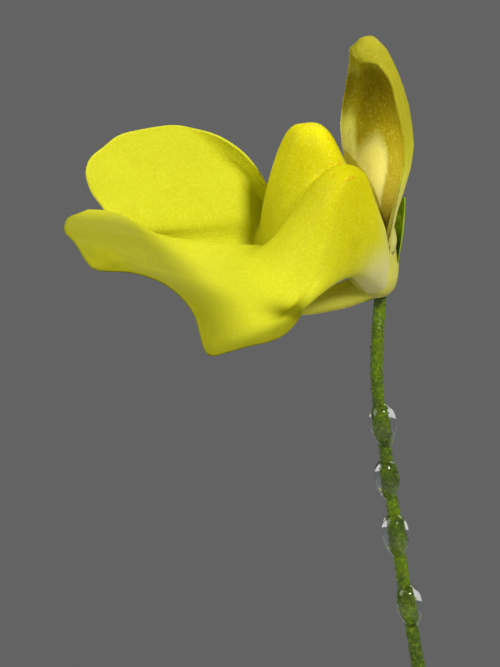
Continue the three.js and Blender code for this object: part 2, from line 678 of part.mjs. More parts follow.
PLANTS.forEach((plant, index) => {
  const random = seeded(300 + index);
  const main = index === 0;
  const bends = main ? photographedBends(plant) : swayingBends(plant, random);
  const { curve, parts } = scape(plant, bends, random);
  if (main) parts.push(...beads(curve, plant));
  else parts.push(...sideStalk(curve, 0.82, random() * 2 * Math.PI, 2, CAPSULE_RADIUS));
  group.add(paint(`scape_${index + 1}`, fuse(parts), 'stem'));
  const { columns, shares } = main ? PHOTOGRAPHED : OTHERS;
  const flower = paint(`corolla_${index + 1}`, corolla(plant, columns, shares), 'corolla');
  flower.rotation.copy(facing(plant));
  flower.position.set(...plant.flower);
  group.add(flower);
});
group.add(paint(`scape_${PLANTS.length + 1}`, budStem(seeded(400)), 'stem'));

export default group;
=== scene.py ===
"""A flowering bladderwort, Utricularia flaccida, in a square nursery pot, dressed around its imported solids.

Lengths are in millimetres in the shape code and turned to metres as each mesh is made. The flowers are
worked out in their own frame: x forward along the lower lip, y to the flower's left, z up.
"""
import math

import bpy
import numpy as np
from mathutils import Euler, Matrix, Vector


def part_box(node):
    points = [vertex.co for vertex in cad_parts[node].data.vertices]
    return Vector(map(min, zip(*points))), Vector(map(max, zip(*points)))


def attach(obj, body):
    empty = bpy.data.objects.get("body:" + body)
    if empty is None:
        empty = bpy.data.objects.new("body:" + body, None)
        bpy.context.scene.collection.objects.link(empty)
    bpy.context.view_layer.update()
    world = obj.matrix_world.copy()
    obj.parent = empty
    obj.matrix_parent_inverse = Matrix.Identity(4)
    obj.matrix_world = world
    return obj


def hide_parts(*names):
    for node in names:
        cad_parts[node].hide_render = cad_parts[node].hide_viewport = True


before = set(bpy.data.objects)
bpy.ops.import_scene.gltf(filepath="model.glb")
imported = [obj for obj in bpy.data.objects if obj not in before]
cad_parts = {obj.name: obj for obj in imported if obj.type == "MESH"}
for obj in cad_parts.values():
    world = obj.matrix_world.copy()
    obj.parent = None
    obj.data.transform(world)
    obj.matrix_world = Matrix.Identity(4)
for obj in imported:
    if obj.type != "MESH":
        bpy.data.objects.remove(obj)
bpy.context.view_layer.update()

bl_info = {
    "name": "Potted bladderwort",
    "version": (1, 0, 0),
    "blender": (4, 5, 0),
    "location": "3D View > Sidebar > Bladderwort",
    "description": "Builds the flowers, stems, runners, soil and pot of a small terrestrial bladderwort",
    "category": "Add Mesh",
}

MM = 0.001

# Pot and soil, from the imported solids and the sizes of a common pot
POT_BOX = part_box("pot")
POT_HEIGHT = POT_BOX[1].z / MM
RIM_HALF = POT_BOX[1].x / MM
RIM_CORNER, FOOT_HALF, FOOT_CORNER = 8.0, 20.0, 6.0
WALL, BAND_HEIGHT, BAND_STEP = 1.2, 6.0, 1.5
FOOT_RECESS, FOOT_RING, FLOOR = 1.6, 3.0, 1.6
DRAIN_RADIUS, DRAIN_SPREAD, NOTCH_HALF = 2.0, 9.0, 2.0
SOIL_TOP, GAP, RELIEF, HOLE_DEPTH = 44.0, 0.3, 0.45, 4.0

# Flower
RING_FORWARD, RING_RADIUS, RING_UP, LIP_UP = 0.45, 0.45, 0.75, 0.34
CUP_FORWARD, CUP_UP, CUP_LENGTH, CUP_WIDTH, CUP_HEIGHT = 0.48, -0.12, 0.68, 0.6, 0.66
LOWER_SHARE, CORNER_DENSITY = 0.56, 1.5
LEFT_MARGIN = (
    (10.5, 0), (10.45, 0.6), (10.15, 1.3), (9.5, 1.85), (8.75, 2.15), (8.3, 2.6), (8.05, 3.1), (7.98, 3.75),
    (7.88, 4.22), (7.3, 4.2), (6.6, 4.0), (5.9, 3.85), (5, 3.52), (4.3, 2.95), (3.7, 2.5), (3.1, 2.2),
    (2.5, 2.08), (2.0, 2.12), (1.5, 2.0), (1.1, 1.75), (0.8, 1.35), (0.62, 0.9),
)
RIGHT_MARGIN = (
    (10.5, 0), (10.4, 0.4), (10.1, 0.8), (9.5, 1.15), (8.95, 1.6), (8.6, 2.1), (8.45, 2.65), (8.5, 3.2),
    (8.82, 3.75), (8.9, 4.25), (8.6, 4.68), (8.0, 4.94), (7.3, 5.25), (6.3, 5.42), (5.4, 5.4), (4.6, 5.12),
    (4, 4.7), (3.4, 4.1), (2.9, 3.45), (2.4, 2.6), (1.9, 1.8), (1.2, 1.15), (0.68, 0.85),
)
# Upper lip by length along it: the length, then how high and how far forward its middle lies, how high its
# edges, how far forward its left and its right edge, and its half width
HOOD_LEVELS = np.array((
    (0.75, 0.75, 0.0, 0.75, 0.45, 0.45, 0.45), (1.1, 1.1, 0.17, 1.1, 0.64, 0.66, 0.7),
    (1.5, 1.5, 0.29, 1.5, 0.78, 0.78, 0.84), (2.15, 2.15, 0.29, 2.15, 0.86, 1.08, 1.03),
    (2.91, 2.91, 0.2, 2.91, 0.9, 1.3, 1.22), (3.65, 3.65, 0.16, 3.65, 0.94, 1.4, 1.36),
    (4.35, 4.33, 0.2, 4.33, 1.0, 1.45, 1.42), (5.0, 4.96, 0.32, 4.96, 1.08, 1.52, 1.38),
    (5.55, 5.48, 0.44, 5.48, 1.17, 1.6, 1.26), (6.1, 6.02, 0.64, 6.02, 1.31, 1.68, 1.08),
    (6.6, 6.48, 0.86, 6.44, 1.43, 1.8, 0.93), (7.0, 6.82, 1.06, 6.66, 1.52, 1.86, 0.82),
    (7.4, 7.14, 1.28, 6.82, 1.61, 1.88, 0.72), (7.8, 7.38, 1.55, 6.92, 1.72, 1.92, 0.6),
    (8.2, 7.4, 1.84, 6.92, 1.88, 1.97, 0.46), (8.6, 7.12, 2.04, 6.84, 2.0, 2.03, 0.27),
    (8.85, 6.84, 2.05, 6.8, 2.04, 2.05, 0.07),
))
PALATE_FORWARD, PALATE_LEFT, PALATE_RIGHT = 2.37, 0.92, -1.2
LEFT_SIZE, RIGHT_SIZE, PALATE_BACK, PALATE_INNER = (1.22, 1.1), (0.71, 0.7), 1.42, 1.18
RIGHT_LEAN = 0.5
LEFT_FRONT, RIGHT_FRONT, BACK_STEEPNESS, SIDE_STEEPNESS, HALF_DEPTH = 2.2, 7.0, 2.7, 3.0, 0.69
LEFT_HUMP, RIGHT_HUMP = 3.48, 3.85
RISE_SLOPE, RISE_FROM, RISE_SOFTNESS = 0.225, 3.6, 2.2
SPUR = ((0.3, -0.4), (1.3, -0.72), (2.4, -0.9), (3.4, -0.95))
SPUR_RADII = (0.42, 0.38, 0.3, 0.18)

# Forms of the lower lip: how high each is, and where it begins and ends, forward or sideways
ARCH_RISE, ARCH_FORWARD, ARCH_SIDE = 0.34, (6.2, 8.4), (2.2, 3.8)
RIDGE_RISE, RIDGE_FORWARD, RIDGE_INNER, RIDGE_OUTER = 0.27, (7, 8.8), (0, 1.3), (1.7, 2.4)
GROOVE_DEPTH, GROOVE_SIDE, GROOVE_WIDTH, GROOVE_FORWARD = 0.55, 1.95, 0.36, (2.4, 3.8)
TIP_DROP, TIP_FORWARD, TIP_SIDE = 0.4, (9.3, 10.3), (0.3, 1.3)
CORNER_DROP, CORNER_FORWARD, CORNER_SIDE = 0.2, (7.2, 7.9), (3.4, 4.4)
WAVE_HEIGHT, LOWER_WAVE, UPPER_WAVE = 0.035, 3.4, 2.6
MARGIN_LIFT, LIFT_ENDS = 0.65, ((0.8, 2.1), (3.6, 5.2))
LEFT_BEND, RIGHT_BEND = 1.4, 0.7
LEFT_BEND_START, RIGHT_BEND_START, RIGHT_BEND_LATER, RIGHT_BEND_ENDS = 1.7, 1.75, 0.5, (2.2, 3.6)

# The cheek beside the mouth: how far along the lip it is tucked in, and where its margin comes to lie
TUCK_LEFT, TUCK_RIGHT, TUCK_FROM = (3.0, 5.4), (1.0, 2.2), 0.4
TUCK_BACK, TUCK_LEAST, TUCK_SIDE, TUCK_SPREAD, TUCK_OUT = 0.68, 0.35, 0.3, 0.13, 0.9
TUCK_LOW, TUCK_RISE = -0.74, (1.2, 3.0)
SPUR_SHOWS, MARGIN_HIGHER, FLANK_HIGHER = ((1.2, 2.0), (3.2, 4.6)), 0.4, 0.55

# Where the lips meet, where they are evened out, and how the evening grows with the number of faces
CORNER_PART, UPPER_PART = (0.53, 0.57), (LOWER_SHARE - 0.02, LOWER_SHARE + 0.05)
EVEN_ROUND, EVEN_ALONG = (300, 300), (40, 100)

# Faces of the other flowers and of the photographed flower's cup
PLAIN_COLUMNS, PLAIN_ROWS, PLAIN_CUP, FINE_CUP = 150, 52, 8, 12

# Where the petals change colour and where shade and light are painted on them, in the flower's frame, and
# across the upper lip from -1 to 1
CHIN_SPREAD, THROAT_UP, THROAT_HALF, THROAT_SHARE, HOOD_UP = (0.35, 1.6), (2.2, 4.6), 1.6, 0.6, (3.4, 5.6)
LOW_CHEEK_UP, LOW_CHEEK_FORWARD = (0.3, 1.9), (1.0, 2.2)
# The rolled margin and the keel inside the upper lip take the cream colour: partly paler tissue, partly
# painted light
ROLL_ACROSS, ROLL_GAP, ROLL_UP = (-0.94, -0.84), ((4.1, 4.8), (5.6, 6.1), 0.85), (5.4, 6.4)
KEEL_UP, KEEL_ACROSS, KEEL_SPREAD, KEEL_END = 4.3, -0.6, 5, (-0.42, -0.25)
# The hollow under the hood, where shade is painted
HOLLOW_UP, HOLLOW_ACROSS, HOLLOW_FOOT = (5.9, 6.6), (0.6, 0.85), (0.9, 1.6)
# Painted shade on the lower lip: along its low edge, over its middle lobe, and a painted shadow in a spot
# beside the spur
LOW_EDGE_FORWARD, LOW_EDGE_SIDE = (3.5, 4.5), (0.5, 1.5)
MIDDLE_FORWARD, MIDDLE_HALF, MIDDLE_RIGHT, MIDDLE_SHADE = (6.2, 8.2), (1.6, 3), (-1.6, -0.6), 0.85
SPOT_AT, SPOT_SIZE, SPOT_SHADE = (4.65, 2.9), (0.6, 0.4), 1.4
SPECK_HUMP, SPECK_FORWARD = (0.62, 0.9), (2.6, 3.4)

# How much of the throat's and the hood's colour the cup has, and what the spur has of all zones
CUP_PALE, CUP_OLIVE, SPUR_ZONES = 0.3, 0.5, (0.6, 0.2, 0.0, 0.3)
UPPER_SEPAL = ((0.12, -0.8, 0.2), (-0.1, -0.68, 0.28), (-0.24, -0.3, 0.34), (-0.25, 0.3, 0.38),
               (-0.26, 1, 0.42), (-0.25, 1.6, 0.34), (-0.23, 2.05, 0.18), (-0.21, 2.25, 0.04))
LOWER_SEPAL = ((0.12, -0.82, 0.16), (0.35, -0.9, 0.26), (0.7, -0.98, 0.3), (1.0, -1.04, 0.22),
               (1.25, -1.06, 0.04))
SEPAL_WRAP, SEPAL_THICKNESS = 0.5, 0.05
PEDICEL_TOP = (0.12, -0.76)

# Stems
STEM_TOP_RADIUS, STEM_FOOT_RADIUS = 0.175, 0.36
BEAD_RADIUS, BEAD_HALF = 0.39, 0.68
# Each bead of water: how far below the flower, how far to one side, and how large
BEADS = ((4.7, 0.04, 1.0), (6.4, -0.05, 0.93), (8.1, -0.03, 1.0), (10.2, 0.05, 0.97))
BEAD_FORWARD, BEAD_SAG = -0.06, -0.16
BELOW_PHOTOGRAPHED_FLOWER = (
    (-0.28, -1.9), (-0.31, -2.8), (-0.29, -3.6), (-0.11, -5), (0.17, -7.1),
    (0.46, -9.2), (0.8, -11.2), (1.6, -16.5), (2.6, -26), (3.4, -42),
)
CAPSULE_RADIUS, CAPSULE_AT, SCALES_AT, SCALE_LENGTH = 0.95, 0.82, (0.16, 0.45), 1.8
PAPILLA_RADIUS, PAPILLA_RISE, PAPILLA, FEWER_PAPILLAE = 0.022, 0.008, (0.7, 1.25, 0.4), 0.25
# Each flowering stem: its foot, its flower's mouth, how the flower is turned, sized and its sides bent
PLANTS = tuple(dict(zip(("foot", "flower", "heading", "roll", "size", "left", "right"), row)) for row in (
    ((7, 1.2), (3, -4, 106), 207, 16, 1, -20, 58),
    ((-8, 0.6), (-16.5, 11, 97), 150, -4, 0.86, -18, -22),
    ((1, -8), (19.5, -13, 87), -40, 5, 0.82, -12, -20),
    ((-0.6, 9), (14.5, 18.5, 101), 70, 0, 0.9, 10, -14),
    ((-14, -0.5), (-18, -14, 80), 235, -6, 0.78, 16, 12),
))
BUD_FOOT, BUD_TOP = (0.2, -15.5), (2.6, -20.5, 72)

# Runners
RUNNER_RADIUS, RUNNER_REACH, RUNNER_INNER = 0.3, 19.5, 4.6
RUNNER_LEAVES, RUNNER_TRAPS, RUNNER_STEPS = 17, 3, 18
LEAF_LENGTH, LEAF_WIDTH, LEAF_LEAN, CORRIDOR = 8.5, 1.15, 0.55, 1.6
TRAP_RADIUS = 0.6

# Loose bits on the soil: radius and squash; dark and light tone, roughness and grain; how many on a square
# metre, smallest and largest. Then the moss in the same way: how many, seed, smallest, largest and tumble
LOOSE_BITS = (
    ("peat_crumbs", (0.34, 0.7), ((0.016, 0.01, 0.007), (0.1, 0.055, 0.03), 0.9, 700.0), (8.0e5, 0.4, 1.5)),
    ("sand_grains", (0.17, 0.85), ((0.36, 0.3, 0.22), (0.66, 0.6, 0.5), 0.35, 3000.0), (5.3e5, 0.5, 1.3)),
    ("perlite", (0.62, 0.9), ((0.55, 0.54, 0.5), (0.85, 0.84, 0.8), 0.9, 1200.0), (2.6e4, 0.5, 1.3)),
)
BIT_TUMBLE, GRAIN_SIDES, GRAIN_ROWS = 3.0, 6, 4
MOSS, MOSS_LEAVES = (3.2e5, 41, 0.7, 1.8, 0.35), 7

# Photograph: its frame, the flower's mouth in it and its scale, in pixels
PHOTO_WIDTH, PHOTO_HEIGHT = 500, 667
FLOWER_PIXEL = (388, 268)
PIXELS_PER_MM = 35.0
CAMERA_DISTANCE, CAMERA_ELEVATION = 220.0, 13.0
SENSOR = 36.0

# Lights: azimuth from the camera's side, elevation, distance and size; and the narrow one into the upper lip
LIGHTS = {"key": ((33, 38, 0.42), 0.1), "fill": ((-78, 30, 0.5), 0.4), "rim": ((140, 40, 0.5), 0.3)}
SNOOT_FROM, SNOOT_SPOT, SNOOT_REACH, SNOOT_SIZE = (-48, 44, 0.1), (0.2, -0.3, 3.0), 0.0013, 0.0005
FLOOR_DEPTH = 2.0
SKY_COLOUR, SKY_STRENGTH = (0.9, 0.95, 1.0, 1.0), 0.13


# Shape helpers

def smooth(low, high, value):
    """A soft step from 0 at low to 1 at high."""
    share = np.clip((value - low) / (high - low), 0, 1)
    return share * share * (3 - 2 * share)


def seeded(seed):
    """The random draws of the solids, so that the fine pieces stand where those do."""
    state = seed

    def draw():
        nonlocal state
        state = (state * 1664525 + 1013904223) % 4294967296
        return state / 4294967296

    return draw


def even_spline(points, at):
    """A smooth curve through points with even knots, read at shares from 0 to 1."""
    p = np.array(points, float)
    place = np.clip(np.asarray(at, float), 0, 1) * (len(p) - 1)
    low = np.minimum(place.astype(int), len(p) - 2)
    t = (place - low)[..., None]
    before = p[np.maximum(low - 1, 0)]
    after = p[np.minimum(low + 2, len(p) - 1)]
    start, end = p[low], p[low + 1]
    a, b = (end - before) * 0.5, (after - start) * 0.5
    return ((2 * start - 2 * end + a + b) * t ** 3 + (-3 * start + 3 * end - 2 * a - b) * t ** 2
            + a * t + start)


def curve_through(points, per_span=40):
    """A dense smooth line through points, which stays close to them where they stand unevenly."""
    p = [np.array(point, float) for point in points]
    p = [2 * p[0] - p[1], *p, 2 * p[-1] - p[-2]]
    shares = np.linspace(0, 1, per_span, endpoint=False)[:, None]
    rows = []
    for index in range(1, len(p) - 2):
        a, b, c, d = p[index - 1:index + 3]
        ab, bc, cd = (max(np.linalg.norm(y - x), 1e-6) ** 0.5 for x, y in ((a, b), (b, c), (c, d)))
        leave = ((b - a) / ab - (c - a) / (ab + bc) + (c - b) / bc) * bc
        reach = ((c - b) / bc - (d - b) / (bc + cd) + (d - c) / cd) * bc
        rows.append(b + leave * shares + (-3 * b + 3 * c - 2 * leave - reach) * shares ** 2
                    + (2 * b - 2 * c + leave + reach) * shares ** 3)
    return np.vstack([*rows, p[-2][None]])


def along(line, shares):
    """Points of a dense line at shares of its length."""
    steps = np.linalg.norm(np.diff(line, axis=0), axis=1)
    length = np.concatenate([[0], np.cumsum(steps)])
    wanted = np.asarray(shares, float) * length[-1]
    return np.stack([np.interp(wanted, length, line[:, axis]) for axis in range(3)], axis=-1)


def ripple(seed, x, y, size):
    """Smooth uneven waves of about unit height over x and y, with crests `size` apart."""
    draw = seeded(seed)
    total = np.zeros_like(np.asarray(x, float))
    for _ in range(6):
        turn, phase = draw() * 2 * math.pi, draw() * 2 * math.pi
        pitch = 2 * math.pi / (size * (0.6 + 0.9 * draw()))
        total = total + np.sin((x * math.cos(turn) + y * math.sin(turn)) * pitch + phase) / 2.4
    return total


def directions(line):
    """For each point of a line its tangent and two directions across it that turn as little as they can."""
    tangent = np.gradient(line, axis=0)
    tangent /= np.linalg.norm(tangent, axis=1)[:, None]
    first = np.cross(tangent[0], (0.31, 0.95, 0.05))
    normal = [first / np.linalg.norm(first)]
    for row in tangent[1:]:
        carried = normal[-1] - row * (normal[-1] @ row)
        normal.append(carried / np.linalg.norm(carried))
    normal = np.array(normal)
    return tangent, normal, np.cross(tangent, normal)


def grid_faces(rows, columns):
    """Four-sided faces between the closed rows of a grid of points."""
    row, column = np.meshgrid(np.arange(rows - 1), np.arange(columns), indexing="ij")
    after = (column + 1) % columns
    corners = (row * columns + column, row * columns + after, (row + 1) * columns + after,
               (row + 1) * columns + column)
    return np.stack(corners, axis=-1).reshape(-1, 4)


def capped_faces(rows, columns):
    """The faces of a grid, with a fan from its first and its last row to two points beyond the grid's."""
    faces = grid_faces(rows, columns).tolist()
    count, last_row = rows * columns, (rows - 1) * columns
    for column in range(columns):
        after = (column + 1) % columns
        faces.append([count, after, column])
        faces.append([count + 1, last_row + column, last_row + after])
    return faces


class Shells:
    """Closed shells in millimetres that become one mesh in metres, with values held at their points."""

    def __init__(self):
        self.points, self.faces, self.marks, self.count = [], [], [], 0

    def add(self, points, faces, **marks):
        points = np.asarray(points, float).reshape(-1, 3)
        faces = [list(face) for face in faces]
        corners = np.array([(face[0], face[k], face[k + 1])
                            for face in faces for k in range(1, len(face) - 1)])
        a, b, c = (points[corners[:, k]] for k in range(3))
        if np.einsum("ij,ij->i", a, np.cross(b, c)).sum() < 0:
            faces = [face[::-1] for face in faces]
        self.points.append(points)
        self.faces.extend([index + self.count for index in face] for face in faces)
        self.marks.append((len(points), marks))
        self.count += len(points)

    def mesh(self, name, material):
        mesh = bpy.data.meshes.new(name)
        mesh.from_pydata((np.vstack(self.points) * MM).tolist(), [], self.faces)
        for mark in sorted({key for _, marks in self.marks for key in marks}):
            self._hold(mesh, mark)
        mesh.materials.append(material)
        mesh.shade_smooth()
        mesh.update()
        return mesh

    def piece(self, name, material):
        return new_object(name, self.mesh(name, material))

    def _hold(self, mesh, mark):
        """Keeps the values of one name on the mesh's points, with 0 where a shell has none."""
        width = max(np.asarray(marks[mark]).reshape(count, -1).shape[1] for count, marks in self.marks
                    if mark in marks)
        rows = [np.asarray(marks[mark], float).reshape(count, -1) if mark in marks
                else np.zeros((count, width)) for count, marks in self.marks]
        kind, field = {1: ("FLOAT", "value"), 4: ("FLOAT_COLOR", "color")}[width]
        held = mesh.attributes.new(mark, kind, "POINT")
        held.data.foreach_set(field, np.vstack(rows).astype(np.float32).ravel())


def tube(line, radii, sides, **marks):
    """A closed round tube along a line, with a radius at each point, as what Shells.add takes."""
    _, normal, binormal = directions(line)
    turn = np.arange(sides) / sides * 2 * math.pi
    ring = normal[:, None] * np.cos(turn)[:, None] + binormal[:, None] * np.sin(turn)[:, None]
    points = (line[:, None] + ring * np.asarray(radii)[:, None, None]).reshape(-1, 3)
    points = np.vstack([points, line[0], line[-1]])
    held = {key: np.concatenate([np.repeat(value, sides), value[:1], value[-1:]])
            for key, value in marks.items()}
    return points, capped_faces(len(line), sides), held


def ovoid(centre, axis, radius, half, sides=20, rows=12, skew=0.0):
    """A closed egg shape about an axis, thicker towards its lower end by skew."""
    axis = np.array(axis, float) / np.linalg.norm(axis)
    angle = np.linspace(0, math.pi, rows + 1)
    line = np.array(centre, float) - np.cos(angle)[:, None] * axis * half
    radii = radius * np.sin(angle) * (1 + skew * np.cos(angle))
    radii[[0, -1]] = radius * 0.02
    return tube(line, radii, sides)


def blade_shell(line, halves, across, thick, rounding=3):
    """A thin pointed blade along a line, with its half width at each point, domed a little on both faces."""
    line, halves = np.array(line), np.array(halves)
    across = np.array(across, float) / np.linalg.norm(across)
    face = np.cross(np.gradient(line, axis=0), across)
    face /= np.linalg.norm(face, axis=1)[:, None]
    places = np.linspace(-1, 1, 2 * rounding + 1)
    dome = np.sqrt(np.clip(1 - places ** 2, 0, 1))
    upper = (line[:, None] + across * places[:, None] * halves[:, None, None]
             + face[:, None] * (dome[:, None] * thick / 2))
    lower = (line[:, None] + across * places[::-1][1:-1, None] * halves[:, None, None]
             - face[:, None] * (dome[1:-1, None] * thick / 2))
    ring = np.concatenate([upper, lower], axis=1)
    return np.vstack([ring.reshape(-1, 3), line[0], line[-1]]), capped_faces(*ring.shape[:2])


def new_object(name, mesh):
    piece = bpy.data.objects.new(name, mesh)
    bpy.context.scene.collection.objects.link(piece)
    return piece


def finished(piece, nodes=()):
    """Fixes a finished piece to the pot's body and hides the imported parts it stands for."""
    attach(piece, "root")
    if nodes:
        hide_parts(*nodes)
    return piece


# Node helpers

class Nodes:
    """Adds nodes to a tree: an input is a socket to link or a plain value."""

    def __init__(self, tree):
        self.tree = tree

    def add(self, kind, inputs=None, **settings):
        node = self.tree.nodes.new(kind)
        for key, value in settings.items():
            setattr(node, key, value)
        for key, value in (inputs or {}).items():
            self.put(node.inputs[key], value)
        return node

    def put(self, socket, value):
        if isinstance(value, bpy.types.NodeSocket):
            self.tree.links.new(value, socket)
        elif value is not None:
            socket.default_value = value

    def math(self, operation, *values, clamp=False):
        node = self.add("ShaderNodeMath", operation=operation, use_clamp=clamp)
        for socket, value in zip(node.inputs, values):
            self.put(socket, value)
        return node.outputs[0]

    def times(self, first, second, clamp=False):
        return self.math("MULTIPLY", first, second, clamp=clamp)

    def plus(self, first, second, clamp=False):
        return self.math("ADD", first, second, clamp=clamp)

    def mix(self, share, first, second):
        node = self.add("ShaderNodeMix", data_type="RGBA", clamp_factor=True)
        self.put(node.inputs[0], share)
        for socket, value in zip(node.inputs[6:8], (first, second)):
            self.put(socket, colour(value) if isinstance(value, tuple) else value)
        return node.outputs[2]

    def between(self, value, low, high, to_low=0.0, to_high=1.0):
        """A soft step of value from low to high."""
        return self.add("ShaderNodeMapRange", {0: value, 1: low, 2: high, 3: to_low, 4: to_high},
                        interpolation_type="SMOOTHSTEP").outputs[0]

    def noise(self, place, scale, detail=3.0, roughness=0.55, distortion=0.0):
        return self.add("ShaderNodeTexNoise", {
            "Vector": place, "Scale": scale, "Detail": detail, "Roughness": roughness,
            "Distortion": distortion}).outputs[0]

    def cells(self, place, scale):
        return self.add("ShaderNodeTexVoronoi", {"Vector": place, "Scale": scale}).outputs["Distance"]

    def split(self, rgb):
        return self.add("ShaderNodeSeparateColor", {0: rgb}).outputs[:3]

    def held(self, name):
        """A value that the mesh holds at its points."""
        return self.add("ShaderNodeAttribute", attribute_type="GEOMETRY", attribute_name=name)


def colour(rgb):
    return (*rgb, 1.0)


def material(name):
    """A new material, its nodes, its shader and the place on the object."""
    made = bpy.data.materials.new(name)
    made.use_nodes = True
    nodes = Nodes(made.node_tree)
    shader = made.node_tree.nodes["Principled BSDF"]
    place = nodes.add("ShaderNodeTexCoord").outputs["Object"]
    return made, nodes, shader, place


def shader_group(name, inputs, outputs):
    """An empty shader node group with named sockets, its nodes, its input node and its output node."""
    tree = bpy.data.node_groups.new(name, "ShaderNodeTree")
    for label, kind, default in inputs:
        socket = tree.interface.new_socket(label, in_out="INPUT", socket_type=kind)
        if default is not None:
            socket.default_value = default
    for label, kind in outputs:
        tree.interface.new_socket(label, in_out="OUTPUT", socket_type=kind)
    return tree, Nodes(tree), tree.nodes.new("NodeGroupInput"), tree.nodes.new("NodeGroupOutput")


def living_skin_group():
    """Plant skin: its cells as a height, and how much darker or lighter it is from place to place."""
    found = bpy.data.node_groups.get("Living skin")
    if found:
        return found
    tree, nodes, given, out = shader_group("Living skin", (
        ("Place", "NodeSocketVector", None),
        ("Cell Scale", "NodeSocketFloat", 14000.0),
        ("Patch Scale", "NodeSocketFloat", 500.0),
        ("Patch Strength", "NodeSocketFloat", 0.3),
    ), (("Height", "NodeSocketFloat"), ("Shade", "NodeSocketFloat"), ("Glint", "NodeSocketFloat")))
    place = given.outputs["Place"]
    cell = nodes.cells(place, given.outputs["Cell Scale"])
    dome = nodes.math("SUBTRACT", 1.0, nodes.times(cell, cell))
    patch = nodes.noise(place, given.outputs["Patch Scale"], 4.0)
    fine = nodes.noise(place, nodes.times(given.outputs["Cell Scale"], 0.8), 2.0)
    uneven = nodes.plus(nodes.times(patch, 0.3), nodes.times(fine, 0.7))
    swing = nodes.times(nodes.math("SUBTRACT", uneven, 0.5), given.outputs["Patch Strength"])
    nodes.put(out.inputs["Height"], dome)
    nodes.put(out.inputs["Shade"], nodes.plus(1.0, nodes.times(swing, 2.0)))
    nodes.put(out.inputs["Glint"], nodes.between(fine, 0.52, 0.68))
    return tree


def skin(nodes, place, cell_scale, patch_scale, patch_strength):
    group = nodes.add("ShaderNodeGroup", node_tree=living_skin_group())
    values = {"Place": place, "Cell Scale": cell_scale, "Patch Scale": patch_scale,
              "Patch Strength": patch_strength}
    for key, value in values.items():
        nodes.put(group.inputs[key], value)
    return group.outputs


def shaded(nodes, paint, shade):
    """A colour made darker or lighter by a value."""
    scale = nodes.add("ShaderNodeVectorMath", operation="SCALE")
    nodes.put(scale.inputs[0], paint)
    nodes.put(scale.inputs["Scale"], shade)
    return scale.outputs[0]


def painted(nodes, shader, paint, roughness):
    nodes.put(shader.inputs["Base Color"], paint)
    nodes.put(shader.inputs["Roughness"], roughness)


def lit_through(made, nodes, shader, paint, share):
    """Lets a share of the light through a thin leaf or petal."""
    thin = nodes.add("ShaderNodeBsdfTranslucent")
    nodes.put(thin.inputs["Color"], paint)
    both = nodes.add("ShaderNodeMixShader", {0: share})
    nodes.put(both.inputs[1], shader.outputs[0])
    nodes.put(both.inputs[2], thin.outputs[0])
    nodes.put(made.node_tree.nodes["Material Output"].inputs["Surface"], both.outputs[0])


def bumped(nodes, shader, height, distance, strength):
    bump = nodes.add("ShaderNodeBump", {"Height": height, "Distance": distance, "Strength": strength})
    nodes.put(shader.inputs["Normal"], bump.outputs[0])


# Materials

# Tones beside those among the settings; the first is painted shade, the last the colour of painted glints
SHADE_PAINT, VEIN_PAINT, SPECK_PAINT, GLINT_PAINT = (
    (0.22, 0.21, 0.002), (0.62, 0.5, 0.01), (0.72, 0.36, 0.005), (1.0, 0.97, 0.2))
PISTIL_PAINT, RUNNER_PAINT, MOSS_PAINT = (0.6, 0.58, 0.12), (0.22, 0.3, 0.08), (0.12, 0.24, 0.02)
BAG_PAINT, CAUGHT_PAINT = (0.32, 0.42, 0.14), (0.1, 0.12, 0.03)
WET_PAINT, FILM_PAINT = (0.012, 0.008, 0.006), (0.035, 0.06, 0.012)
SCUFF_PAINT, DUST_PAINT, SPLASH_PAINT = (0.16, 0.16, 0.16), (0.2, 0.16, 0.12), (0.035, 0.02, 0.012)

# Each green part's deeper tone, how fine its cells are, how much light it lets through and its roughness
GREEN_SKINS = {
    "pistil": ((0.4, 0.42, 0.08), 16000.0, 0.12, 0.42),
    "stem": ((0.06, 0.1, 0.008), 12000.0, 0.12, 0.42),
    "calyx": ((0.23, 0.37, 0.004), 12000.0, 0.3, 0.42),
    "leaf": ((0.04, 0.14, 0.01), 9000.0, 0.25, 0.34),
    "runner": ((0.1, 0.16, 0.03), 9000.0, 0.2, 0.4),
    "moss": ((0.04, 0.1, 0.01), 9000.0, 0.25, 0.5),
}


